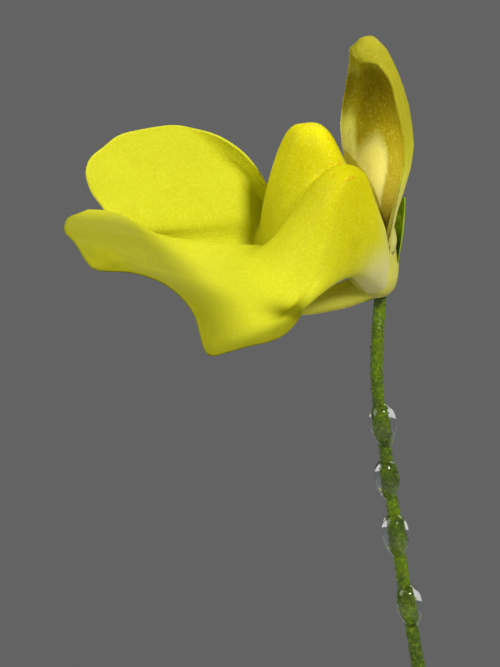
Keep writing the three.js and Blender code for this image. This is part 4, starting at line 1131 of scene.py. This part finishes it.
def scatter_tree():
    """Strews copies of a template over faces at random turns and sizes, where the mesh has `cover`."""
    found = bpy.data.node_groups.get("Strew over faces")
    if found:
        return found
    tree, nodes, given, out = geometry_tree("Strew over faces", (
        ("Template", "NodeSocketObject"), ("Density", "NodeSocketFloat"), ("Seed", "NodeSocketInt"),
        ("Smallest", "NodeSocketFloat"), ("Largest", "NodeSocketFloat"), ("Tumble", "NodeSocketFloat"),
        ("Material", "NodeSocketMaterial")))
    cover = nodes.add("GeometryNodeInputNamedAttribute", {"Name": "cover"}, data_type="FLOAT")
    density = nodes.add("ShaderNodeMath", operation="MULTIPLY")
    nodes.put(density.inputs[0], given["Density"])
    nodes.put(density.inputs[1], cover.outputs[0])
    points = nodes.add("GeometryNodeDistributePointsOnFaces", {
        "Mesh": given["Geometry"], "Density": density.outputs[0], "Seed": given["Seed"]})
    template = nodes.add("GeometryNodeObjectInfo", {"Object": given["Template"], "As Instance": True})
    tumble = nodes.add("ShaderNodeCombineXYZ", {
        "X": given["Tumble"], "Y": given["Tumble"], "Z": 2 * math.pi})
    back = nodes.add("ShaderNodeVectorMath", operation="SCALE")
    nodes.put(back.inputs[0], tumble.outputs[0])
    back.inputs["Scale"].default_value = -1.0
    turn = nodes.add("FunctionNodeRandomValue", {"Min": back.outputs[0], "Max": tumble.outputs[0],
                                                 "Seed": given["Seed"]}, data_type="FLOAT_VECTOR")
    both = nodes.add("FunctionNodeRotateRotation", {0: points.outputs["Rotation"], 1: turn.outputs[0]},
                     rotation_space="LOCAL")
    size = nodes.add("FunctionNodeRandomValue", {"Seed": given["Seed"]}, data_type="FLOAT")
    nodes.put(size.inputs[2], given["Smallest"])
    nodes.put(size.inputs[3], given["Largest"])
    placed = nodes.add("GeometryNodeInstanceOnPoints", {
        "Points": points.outputs["Points"], "Instance": template.outputs["Geometry"],
        "Rotation": both.outputs[0], "Scale": size.outputs[1]})
    finish_tree(nodes, given, out, placed.outputs[0])
    return tree


def placed_tree():
    """Sets a template on each point of a mesh, turned by its `turn` and sized by its `stretch`."""
    found = bpy.data.node_groups.get("Set on points")
    if found:
        return found
    tree, nodes, given, out = geometry_tree("Set on points", (
        ("Template", "NodeSocketObject"), ("Material", "NodeSocketMaterial")))
    turn = nodes.add("GeometryNodeInputNamedAttribute", {"Name": "turn"}, data_type="FLOAT_VECTOR")
    stretch = nodes.add("GeometryNodeInputNamedAttribute", {"Name": "stretch"}, data_type="FLOAT_VECTOR")
    template = nodes.add("GeometryNodeObjectInfo", {"Object": given["Template"], "As Instance": True})
    placed = nodes.add("GeometryNodeInstanceOnPoints", {
        "Points": given["Geometry"], "Instance": template.outputs["Geometry"],
        "Rotation": turn.outputs[0], "Scale": stretch.outputs[0]})
    finish_tree(nodes, given, out, placed.outputs[0])
    return tree


def grown(base, tree, values, name):
    """Runs a node tree on an object and returns its result as a plain mesh object."""
    growth = base.modifiers.new(name, "NODES")
    growth.node_group = tree
    for item in tree.interface.items_tree:
        if item.in_out == "INPUT" and item.name in values:
            growth[item.identifier] = values[item.name]
    graph = bpy.context.evaluated_depsgraph_get()
    mesh = bpy.data.meshes.new_from_object(base.evaluated_get(graph), preserve_all_data_layers=True,
                                           depsgraph=graph)
    base.modifiers.remove(growth)
    mesh.name = name
    return new_object(name, mesh)


def strewn(base, template, name, paint, density, seed, smallest, largest, tumble):
    values = {"Template": template, "Density": density, "Seed": seed, "Smallest": smallest,
              "Largest": largest, "Tumble": tumble, "Material": paint}
    return grown(base, scatter_tree(), values, name)


def hidden_template(name, shells, paint):
    template = shells.piece(name, paint)
    template.hide_render = True
    return template


def remove(*objects):
    for one in objects:
        bpy.data.objects.remove(one)


def root_points(name, roots, turns, stretches):
    """A mesh of loose points that hold how the template on each is turned and sized."""
    mesh = bpy.data.meshes.new(name)
    mesh.from_pydata((np.asarray(roots, float) * MM).tolist(), [], [])
    for label, values in (("turn", turns), ("stretch", stretches)):
        held = mesh.attributes.new(label, "FLOAT_VECTOR", "POINT")
        held.data.foreach_set("vector", np.asarray(values, np.float32).ravel())
    return new_object(name, mesh)


# Runners

def runner_line(quarter, draw):
    rows = []
    for step in range(RUNNER_STEPS + 1):
        share = step / RUNNER_STEPS
        start, sweep = (quarter + 0.18) * math.pi / 2, 0.64 * math.pi / 2
        turn = start + sweep * (0.5 + 0.5 * math.sin(share * 6.4 + quarter))
        reach = (RUNNER_INNER + (RUNNER_REACH - RUNNER_INNER) * share
                 + 0.5 * math.sin(share * 9 + quarter * 1.7) + draw() * 0.2)
        x, y = math.cos(turn) * reach, math.sin(turn) * reach
        rows.append((x, y, float(soil_height(x, y)) + 1.5 * GAP + RUNNER_RADIUS))
    return curve_through(rows)


def kept_clear(value, step):
    far = value + step
    inside = min(max(abs(far), CORRIDOR), FOOT_HALF + 3)
    return math.copysign(inside, value) - value


def leaf_of(root, draw):
    """How one leaf stands: its turn about the upright, and its reach and length."""
    length = LEAF_LENGTH * (0.6 + 0.4 * draw())
    turn = draw() * 2 * math.pi
    reach = length * LEAF_LEAN * (0.3 + 0.7 * draw())
    out = (kept_clear(root[0], math.cos(turn) * reach), kept_clear(root[1], math.sin(turn) * reach))
    return math.atan2(out[1], out[0]), math.hypot(*out), length


def leaf_template(paint):
    """A narrow leaf of unit reach and length: it leans out as it rises, widest below its middle."""
    shares = np.linspace(0, 1, 11)
    line = np.stack([shares ** 1.6, shares * 0, shares * (1 - 0.18 * shares)], axis=-1)
    halves = np.interp(shares, (0, 0.35, 0.7, 0.92, 1), (0.3, 0.46, 0.4, 0.2, 0.03)) * LEAF_WIDTH
    shells = Shells()
    shells.add(*blade_shell(line * 1000, halves, (0, 1, 0), 46.0, 3))
    return hidden_template("leaf_template", shells, paint)


def trap_template(paint):
    """A bladder trap: a round bag with two feelers over its mouth."""
    shells = Shells()
    shells.add(*ovoid((0, 0, 0), (0.3, 0, 1), 480.0, 560.0, 14, 9, 0.1)[:2])
    for side in (-1, 1):
        bow = [(420, 60 * side, 200), (640, 180 * side, 420), (760, 330 * side, 420)]
        shells.add(*tube(along(curve_through(bow, 5), np.linspace(0, 1, 6)), (60, 52, 44, 36, 26, 12), 6)[:2])
    return hidden_template("trap_template", shells, paint)


def runner_pieces(quarter, leaf, trap, paints):
    draw = seeded(71 + quarter * 13)
    line = runner_line(quarter, draw)
    places = along(line, (np.arange(RUNNER_LEAVES) + 0.5) / RUNNER_LEAVES)
    stands = [leaf_of(root, draw) for root in places]
    turns = [(0, 0, turn) for turn, _, _ in stands]
    stretches = [(reach * MM, 1, length * MM) for _, reach, length in stands]
    roots = root_points(f"leaf_roots_{quarter + 1}", places, turns, stretches)
    inputs = {"Template": leaf, "Material": paints["leaf"]}
    finished(grown(roots, placed_tree(), inputs, f"leaves_{quarter + 1}"))
    bags = along(line, (np.arange(RUNNER_TRAPS) + 0.3) / RUNNER_TRAPS) + (0, 0, RUNNER_RADIUS)
    bag_turns = [(0, 0, number * 2.1 + quarter) for number in range(len(bags))]
    bag_sizes = [(TRAP_RADIUS * MM,) * 3] * len(bags)
    bag_roots = root_points(f"trap_roots_{quarter + 1}", bags, bag_turns, bag_sizes)
    inputs = {"Template": trap, "Material": paints["trap"]}
    finished(grown(bag_roots, placed_tree(), inputs, f"bladders_{quarter + 1}"))
    remove(roots, bag_roots)
    shells = Shells()
    steps = np.linspace(0, 1, 150)
    radii = RUNNER_RADIUS * 0.8 * (1 + 0.05 * np.sin(steps * 170))
    shells.add(*tube(along(line, steps), radii, 12)[:2])
    thread = shells.piece(f"runner_thread_{quarter + 1}", paints["thread"])
    finished(thread, (f"runner_{quarter + 1}",))


# Soil and pot

def wall_half(height):
    return FOOT_HALF + (RIM_HALF - BAND_STEP - FOOT_HALF) * (height / (POT_HEIGHT - BAND_HEIGHT))


def wall_corner(height):
    return FOOT_CORNER + (RIM_CORNER - FOOT_CORNER) * (height / POT_HEIGHT)


def rounded_square(half, corner, height, corner_steps=14, side_steps=1):
    """A ring of points round a square with round corners."""
    ring = []
    for quarter in range(4):
        c, s = math.cos(quarter * math.pi / 2), math.sin(quarter * math.pi / 2)
        flat = [(half - corner + math.cos(turn) * corner, half - corner + math.sin(turn) * corner)
                for turn in np.linspace(0, math.pi / 2, corner_steps + 1)]
        flat += [((half - corner) * (1 - 2 * step / side_steps), half) for step in range(1, side_steps)]
        ring += [(x * c - y * s, x * s + y * c, height) for x, y in flat]
    return np.array(ring)


def circle(radius, height, count):
    turn = np.linspace(0, 2 * math.pi, count + 1)[:-1]
    return np.stack([radius * np.cos(turn), radius * np.sin(turn), turn * 0 + height], axis=-1)


def lofted(rings):
    """A closed body through rings of points, with flat ends."""
    rows, columns = len(rings), len(rings[0])
    faces = grid_faces(rows, columns).tolist()
    faces.append(list(range(columns))[::-1])
    faces.append([(rows - 1) * columns + column for column in range(columns)])
    return np.vstack(rings), faces


def solid(name, points, faces, paint):
    shells = Shells()
    shells.add(points, faces)
    return shells.piece(name, paint)


def cut(base, *cutters):
    """Cuts other bodies out of a body and leaves a plain mesh."""
    for cutter in cutters:
        taken = base.modifiers.new("cut", "BOOLEAN")
        taken.operation = "DIFFERENCE"
        taken.solver = "EXACT"
        taken.object = cutter
    graph = bpy.context.evaluated_depsgraph_get()
    mesh = bpy.data.meshes.new_from_object(base.evaluated_get(graph))
    base.modifiers.clear()
    base.data = mesh
    remove(*cutters)
    return base


def edge_round(half, corner, height, radius, rising):
    """Rings of a rounded edge between an upright wall and a level face."""
    rings = []
    for turn in np.linspace(0, math.pi / 2, 5):
        step = radius * (1 - math.cos(turn)) if rising else radius * (1 - math.sin(turn))
        lift = radius * math.sin(turn) if rising else radius * (1 - math.cos(turn))
        rings.append(rounded_square(half - step, corner - step, height + lift))
    return rings


def pot_piece(paint, edge):
    """The pot: a tapered square wall with a rim band, a foot ring with notches and five drain holes."""
    band = POT_HEIGHT - BAND_HEIGHT
    outer = [
        *edge_round(FOOT_HALF, FOOT_CORNER, 0, edge, False),
        rounded_square(wall_half(band) - 0.05, wall_corner(band), band - 0.4),
        rounded_square(wall_half(band), wall_corner(band), band),
        *edge_round(RIM_HALF, RIM_CORNER, band, edge, False),
        *edge_round(RIM_HALF, RIM_CORNER, POT_HEIGHT - edge, edge, True),
    ]
    base = solid("pot", *lofted(outer), paint)
    floor_top = FOOT_RECESS + FLOOR
    inner_half, inner_corner = wall_half(POT_HEIGHT) - WALL, wall_corner(POT_HEIGHT) - WALL
    inner = [
        rounded_square(wall_half(floor_top) - WALL, wall_corner(floor_top) - WALL, floor_top),
        rounded_square(wall_half(POT_HEIGHT - edge) - WALL, wall_corner(POT_HEIGHT - edge) - WALL,
                       POT_HEIGHT - edge),
        rounded_square(inner_half + edge * 0.3, inner_corner + edge * 0.3, POT_HEIGHT - edge * 0.35),
        rounded_square(inner_half + edge, inner_corner + edge, POT_HEIGHT + 0.01),
        rounded_square(inner_half + edge, inner_corner + edge, POT_HEIGHT + 1),
    ]
    recess_half = FOOT_HALF - FOOT_RING
    recess = [rounded_square(recess_half, FOOT_CORNER - FOOT_RING / 2, height)
              for height in (-1, FOOT_RECESS)]
    cutters = [solid("inner", *lofted(inner), paint), solid("recess", *lofted(recess), paint)]
    spots = [(0, 0)] + [(x * DRAIN_SPREAD, y * DRAIN_SPREAD) for x in (-1, 1) for y in (-1, 1)]
    for number, (x, y) in enumerate(spots):
        rings = [circle(DRAIN_RADIUS, height, 32) + (x, y, 0) for height in (-1, floor_top + 1)]
        cutters.append(solid(f"drain_{number}", *lofted(rings), paint))
    for number, (long, wide) in enumerate(((2 * RIM_HALF, NOTCH_HALF), (NOTCH_HALF, 2 * RIM_HALF))):
        rings = [np.array([(long, wide, height), (-long, wide, height), (-long, -wide, height),
                           (long, -wide, height)]) for height in (-1, FOOT_RECESS)]
        cutters.append(solid(f"notch_{number}", *lofted(rings), paint))
    pot = cut(base, *cutters)
    pot.name = "nursery_pot"
    for face in pot.data.polygons:
        face.use_smooth = True
    pot.data.set_sharp_from_angle(angle=math.radians(35))
    return finished(pot, ("pot",))


def soil_piece(paint):
    """The plug of soil with its fine crumbly relief, and on its points where loose bits may lie."""
    foot = FOOT_RECESS + FLOOR + GAP
    half, corner = wall_half(SOIL_TOP) - WALL - GAP, wall_corner(SOIL_TOP) - WALL - GAP
    low = rounded_square(wall_half(foot) - WALL - GAP, wall_corner(foot) - WALL - GAP, foot, 8, 32)
    edge = rounded_square(half, corner, SOIL_TOP, 8, 32)
    rings, cover = [low], [np.zeros(len(low))]
    for share in np.linspace(1, 0.01, 76):
        x, y = edge[:, 0] * share, edge[:, 1] * share
        crumbs = 0.22 * ripple(7, x, y, 2.6) + 0.12 * ripple(8, x, y, 1.1)
        rings.append(np.stack([x, y, soil_height(x, y) + crumbs * smooth(1.0, 0.94, share)], axis=-1))
        cover.append(np.full(len(low), float(share < 0.985)))
    points, faces = lofted(rings)
    shells = Shells()
    shells.add(points, faces, cover=np.concatenate(cover))
    return shells.piece("soil_plug", paint)


def lumpy(name, radius, squash, seed, paint):
    """A small uneven grain, as a template."""
    points, faces, _ = ovoid((0, 0, 0), (0, 0, 1), radius, radius * squash, GRAIN_SIDES, GRAIN_ROWS)
    draw = seeded(seed)
    points = points * np.array([[0.75 + 0.5 * draw()] for _ in points])
    shells = Shells()
    shells.add(points, faces)
    return hidden_template(name, shells, paint)


def sprig_template(paint):
    """A tiny tuft of moss: short pointed leaves round a stem."""
    shells = Shells()
    draw = seeded(5)
    for number in range(MOSS_LEAVES):
        turn = number * 2.4
        height = 0.12 + 0.11 * number
        out = np.array((math.cos(turn), math.sin(turn), 0))
        steps = np.linspace(0, 1, 3)[:, None]
        length = 0.5 + 0.25 * draw()
        line = np.array((0, 0, height)) + out * length * steps * 0.8
        line = line + np.array((0, 0, length)) * steps ** 1.4
        shells.add(*blade_shell(line, (0.07, 0.13, 0.01), (-out[1], out[0], 0), 0.03, 1))
    return hidden_template("moss_template", shells, paint)


# Settings

def tint(name, description, rgb):
    return bpy.props.FloatVectorProperty(
        name=name, description=description, default=rgb, size=3, subtype="COLOR", min=0, max=1)


def distance(name, description, default, smallest, precision=3):
    return bpy.props.FloatProperty(
        name=name, description=description, default=default, min=smallest, subtype="DISTANCE", unit="LENGTH",
        precision=precision)


def power(name, description, default):
    return bpy.props.FloatProperty(
        name=name, description=description, default=default, min=0, subtype="POWER", unit="POWER")


class BladderwortFlower(bpy.types.PropertyGroup):
    petal: tint("Petal", "Colour of the lobes", (0.75, 0.74, 0.026))
    palate: tint("Palate", "Colour of the two humps", (0.72, 0.66, 0.003))
    throat: tint("Throat", "Colour of the throat, cup and chin", (0.86, 0.8, 0.34))
    hood: tint("Hood", "Colour of the upper lip's top", (0.5, 0.45, 0.02))
    # Cream: partly the pale tissue inside the upper lip, partly painted light
    cream_and_painted_light: tint("Cream", "Colour of the pale patch inside the upper lip", (0.95, 0.88, 0.36))
    # Dark: the painted shade in the hollow under the hood
    dark: tint("Dark", "Colour of the hollow under the hood", (0.27, 0.2, 0.002))
    thickness: distance("Petal thickness", "Thickness of the petal sheet", 0.00014, 0.00005, 5)
    fine_columns: bpy.props.IntProperty(
        name="Columns", description="Faces round the photographed flower", default=300, min=60, max=600)
    fine_rows: bpy.props.IntProperty(
        name="Rows", description="Faces from its mouth to its margin", default=110, min=20, max=300)


class BladderwortGreen(bpy.types.PropertyGroup):
    stem: tint("Stem", "Colour of the stems", (0.125, 0.2, 0.004))
    calyx: tint("Calyx", "Colour of the calyx", (0.43, 0.6, 0.006))
    leaf: tint("Leaf", "Colour of the leaves", (0.1, 0.26, 0.02))
    papillae: bpy.props.FloatProperty(
        name="Papillae", description="Papillae on a square metre of stem", default=6.0e7, min=0)


class BladderwortPot(bpy.types.PropertyGroup):
    plastic: tint("Plastic", "Colour of the pot", (0.022, 0.023, 0.024))
    peat: tint("Peat", "Colour of the peat", (0.075, 0.04, 0.022))
    sand: tint("Sand", "Colour of the pale grains", (0.5, 0.44, 0.34))
    edge: distance("Edge", "Rounding of the rim's edges", 0.0005, 0.0001, 4)


class BladderwortStage(bpy.types.PropertyGroup):
    floor: tint("Floor", "Colour of the floor", (0.6, 0.6, 0.59))
    floor_radius: distance("Floor radius", "Radius of the round floor", 0.25, 0.1)
    backdrop: tint("Backdrop", "Colour behind everything", (0.125, 0.125, 0.127))
    key: power("Key light", "Power of the key light", 1.95)
    snoot: power("Snoot", "Power of the narrow light into the upper lip", 0.88)
    fill: power("Fill light", "Power of the fill light", 2.0)


# Operators

class BLADDERWORT_OT_flowers(bpy.types.Operator):
    """Makes every corolla with its pistil and stamens"""

    bl_idname = "bladderwort.flowers"
    bl_label = "Flowers"

    def execute(self, context):
        settings = context.scene.bladderwort_flower
        petal = petal_material(settings)
        inner = green_material("pistil", PISTIL_PAINT)
        for index, plant in enumerate(PLANTS):
            corolla_piece(index, plant, settings, petal)
            pistil_and_stamens(index, plant, inner)
        return {"FINISHED"}


class BLADDERWORT_OT_stems(bpy.types.Operator):
    """Makes the flowering stems with their papillae, calyx, scales and capsules, and the beads of water"""

    bl_idname = "bladderwort.stems"
    bl_label = "Stems"

    def execute(self, context):
        settings = context.scene.bladderwort_green
        stem = green_material("stem", settings.stem)
        calyx = green_material("calyx", settings.calyx)
        papilla = Shells()
        papilla.add(*ovoid((0, 0, PAPILLA_RISE), (0, 0, 1), PAPILLA_RADIUS, PAPILLA_RADIUS, 6, 4)[:2])
        bump = hidden_template("papilla_template", papilla, stem)
        for index, plant in enumerate(PLANTS):
            draw = seeded(300 + index)
            line = stem_line(plant, index, draw)
            piece = stem_piece(line, index, draw, stem)
            near = piece.data.attributes["near"]
            values = np.zeros(len(piece.data.vertices), np.float32)
            near.data.foreach_get("value", values)
            cover = piece.data.attributes.new("cover", "FLOAT", "POINT")
            cover.data.foreach_set("value", values if index == 0 else values * FEWER_PAPILLAE)
            name = f"papillae_{index + 1}"
            rough = strewn(piece, bump, name, stem, settings.papillae, 11 + index, *PAPILLA)
            finished(rough)
            finished(piece, (f"scape_{index + 1}",))
            calyx_piece(index, plant, calyx)
            if index == 0:
                water_beads(line, plant, water_material())
        finished(bud_stem_piece(stem), (f"scape_{len(PLANTS) + 1}",))
        remove(bump)
        return {"FINISHED"}


class BLADDERWORT_OT_runners(bpy.types.Operator):
    """Makes the creeping runners with their leaves and bladder traps"""

    bl_idname = "bladderwort.runners"
    bl_label = "Runners"

    def execute(self, context):
        settings = context.scene.bladderwort_green
        paints = {
            "leaf": green_material("leaf", settings.leaf),
            "thread": green_material("runner", RUNNER_PAINT),
            "trap": trap_material(),
        }
        leaf, trap = leaf_template(paints["leaf"]), trap_template(paints["trap"])
        for quarter in range(4):
            runner_pieces(quarter, leaf, trap, paints)
        remove(leaf, trap)
        return {"FINISHED"}


class BLADDERWORT_OT_soil(bpy.types.Operator):
    """Makes the soil with its peat crumbs, sand, perlite and moss"""

    bl_idname = "bladderwort.soil"
    bl_label = "Soil"

    def execute(self, context):
        settings = context.scene.bladderwort_pot
        piece = soil_piece(soil_material(settings))
        for number, (name, shape, paint, spread) in enumerate(LOOSE_BITS):
            made = grain_material(name, *paint)
            template = lumpy(f"{name}_template", *shape, 21 + number, made)
            loose = strewn(piece, template, name, made, spread[0], 31 + number, *spread[1:], BIT_TUMBLE)
            finished(loose)
            remove(template)
        moss = green_material("moss", MOSS_PAINT)
        sprig = sprig_template(moss)
        finished(strewn(piece, sprig, "moss", moss, *MOSS))
        remove(sprig)
        finished(piece, ("soil",))
        return {"FINISHED"}


class BLADDERWORT_OT_pot(bpy.types.Operator):
    """Makes the nursery pot"""

    bl_idname = "bladderwort.pot"
    bl_label = "Pot"

    def execute(self, context):
        settings = context.scene.bladderwort_pot
        pot_piece(pot_material(settings), settings.edge / MM)
        return {"FINISHED"}


class BLADDERWORT_OT_stage(bpy.types.Operator):
    """Makes the floor, the backdrop, the lights and the camera"""

    bl_idname = "bladderwort.stage"
    bl_label = "Stage"

    def execute(self, context):
        settings = context.scene.bladderwort_stage
        self.floor(settings)
        self.backdrop(context, settings)
        flower = Vector(PLANTS[0]["flower"]) * MM
        for name, watts in (("key", settings.key), ("fill", settings.fill), ("rim", 0.5 * settings.fill)):
            direction, size = LIGHTS[name]
            lamp = bpy.data.lights.new(name, "AREA")
            lamp.shape, lamp.size, lamp.energy = "DISK", size, watts
            self.aimed(context, lamp, flower, *direction)
        lamp = bpy.data.lights.new("snoot", "SPOT")
        lamp.energy, lamp.shadow_soft_size = settings.snoot, SNOOT_SIZE
        lamp.spot_size, lamp.spot_blend = 2 * math.atan(SNOOT_REACH / SNOOT_FROM[2]), 0.8
        self.aimed(context, lamp, Vector(to_world(PLANTS[0], SNOOT_SPOT)) * MM, *SNOOT_FROM)
        self.camera(context, flower)
        return {"FINISHED"}

    def floor(self, settings):
        made, nodes, shader, place = material("floor")
        tone = nodes.noise(place, 30.0, 2.0)
        paint = nodes.mix(tone, tuple(part * 0.97 for part in settings.floor), tuple(settings.floor))
        painted(nodes, shader, paint, 0.8)
        rings = [circle(settings.floor_radius / MM, height, 128) for height in (-FLOOR_DEPTH, 0.0)]
        solid("floor", *lofted(rings), made)
        bpy.data.objects["floor"].data.shade_flat()

    def backdrop(self, context, settings):
        world = bpy.data.worlds.new("studio")
        world.use_nodes = True
        nodes = Nodes(world.node_tree)
        shown = world.node_tree.nodes["Background"]
        shown.inputs["Color"].default_value = colour(settings.backdrop)
        light = nodes.add("ShaderNodeBackground", {"Color": SKY_COLOUR, "Strength": SKY_STRENGTH})
        path = nodes.add("ShaderNodeLightPath")
        both = nodes.add("ShaderNodeMixShader")
        nodes.put(both.inputs[0], path.outputs["Is Camera Ray"])
        nodes.put(both.inputs[1], light.outputs[0])
        nodes.put(both.inputs[2], shown.outputs[0])
        nodes.put(world.node_tree.nodes["World Output"].inputs["Surface"], both.outputs[0])
        context.scene.world = world
        context.scene.view_settings.view_transform = "Standard"

    def aimed(self, context, lamp, aim, azimuth, elevation, away):
        """Sets up a lamp that shines at a point: azimuth 0 is the camera's side, 90 the right."""
        holder = bpy.data.objects.new(lamp.name, lamp)
        context.scene.collection.objects.link(holder)
        turn, rise = math.radians(azimuth), math.radians(elevation)
        back = Vector((math.sin(turn) * math.cos(rise), -math.cos(turn) * math.cos(rise), math.sin(rise)))
        holder.location = aim + back * away
        holder.rotation_euler = back.to_track_quat("Z", "Y").to_euler()

    def camera(self, context, flower):
        """The photograph's view: the flower's mouth falls on its pixel."""
        rise = math.radians(CAMERA_ELEVATION)
        back = Vector((0, -math.cos(rise), math.sin(rise)))
        up = Vector((0, math.sin(rise), math.cos(rise)))
        right = Vector((1, 0, 0))
        over = (PHOTO_WIDTH / 2 - FLOWER_PIXEL[0]) / PIXELS_PER_MM * MM
        down = (PHOTO_HEIGHT / 2 - FLOWER_PIXEL[1]) / PIXELS_PER_MM * MM
        aim = flower + right * over - up * down
        lens = bpy.data.cameras.new("camera")
        lens.sensor_width = SENSOR
        lens.lens = SENSOR * CAMERA_DISTANCE / (PHOTO_HEIGHT / PIXELS_PER_MM)
        lens.clip_start, lens.clip_end = 0.01, 20.0
        holder = bpy.data.objects.new("camera", lens)
        context.scene.collection.objects.link(holder)
        holder.location = aim + back * CAMERA_DISTANCE * MM
        holder.rotation_euler = back.to_track_quat("Z", "Y").to_euler()
        context.scene.camera = holder


class BLADDERWORT_PT_panel(bpy.types.Panel):
    """Lists what can be made and its sizes and colours"""

    bl_idname = "BLADDERWORT_PT_panel"
    bl_label = "Potted bladderwort"
    bl_space_type = "VIEW_3D"
    bl_region_type = "UI"
    bl_category = "Bladderwort"

    def draw(self, context):
        for operator in OPERATORS:
            self.layout.operator(operator.bl_idname)
        for name in SETTINGS:
            group = getattr(context.scene, name)
            for key in group.bl_rna.properties.keys():
                if key not in ("rna_type", "name"):
                    self.layout.prop(group, key)


OPERATORS = (
    BLADDERWORT_OT_pot, BLADDERWORT_OT_soil, BLADDERWORT_OT_runners, BLADDERWORT_OT_stems,
    BLADDERWORT_OT_flowers, BLADDERWORT_OT_stage,
)
SETTINGS = {
    "bladderwort_flower": BladderwortFlower,
    "bladderwort_green": BladderwortGreen,
    "bladderwort_pot": BladderwortPot,
    "bladderwort_stage": BladderwortStage,
}


def register():
    for group in (*SETTINGS.values(), *OPERATORS, BLADDERWORT_PT_panel):
        bpy.utils.register_class(group)
    for name, group in SETTINGS.items():
        setattr(bpy.types.Scene, name, bpy.props.PointerProperty(type=group))


def unregister():
    for name in SETTINGS:
        delattr(bpy.types.Scene, name)
    for group in (BLADDERWORT_PT_panel, *reversed(OPERATORS), *reversed(SETTINGS.values())):
        bpy.utils.unregister_class(group)


def main():
    register()
    bpy.ops.bladderwort.pot()
    bpy.ops.bladderwort.soil()
    bpy.ops.bladderwort.runners()
    bpy.ops.bladderwort.stems()
    bpy.ops.bladderwort.flowers()
    bpy.ops.bladderwort.stage()


if __name__ == "__main__":
    main()
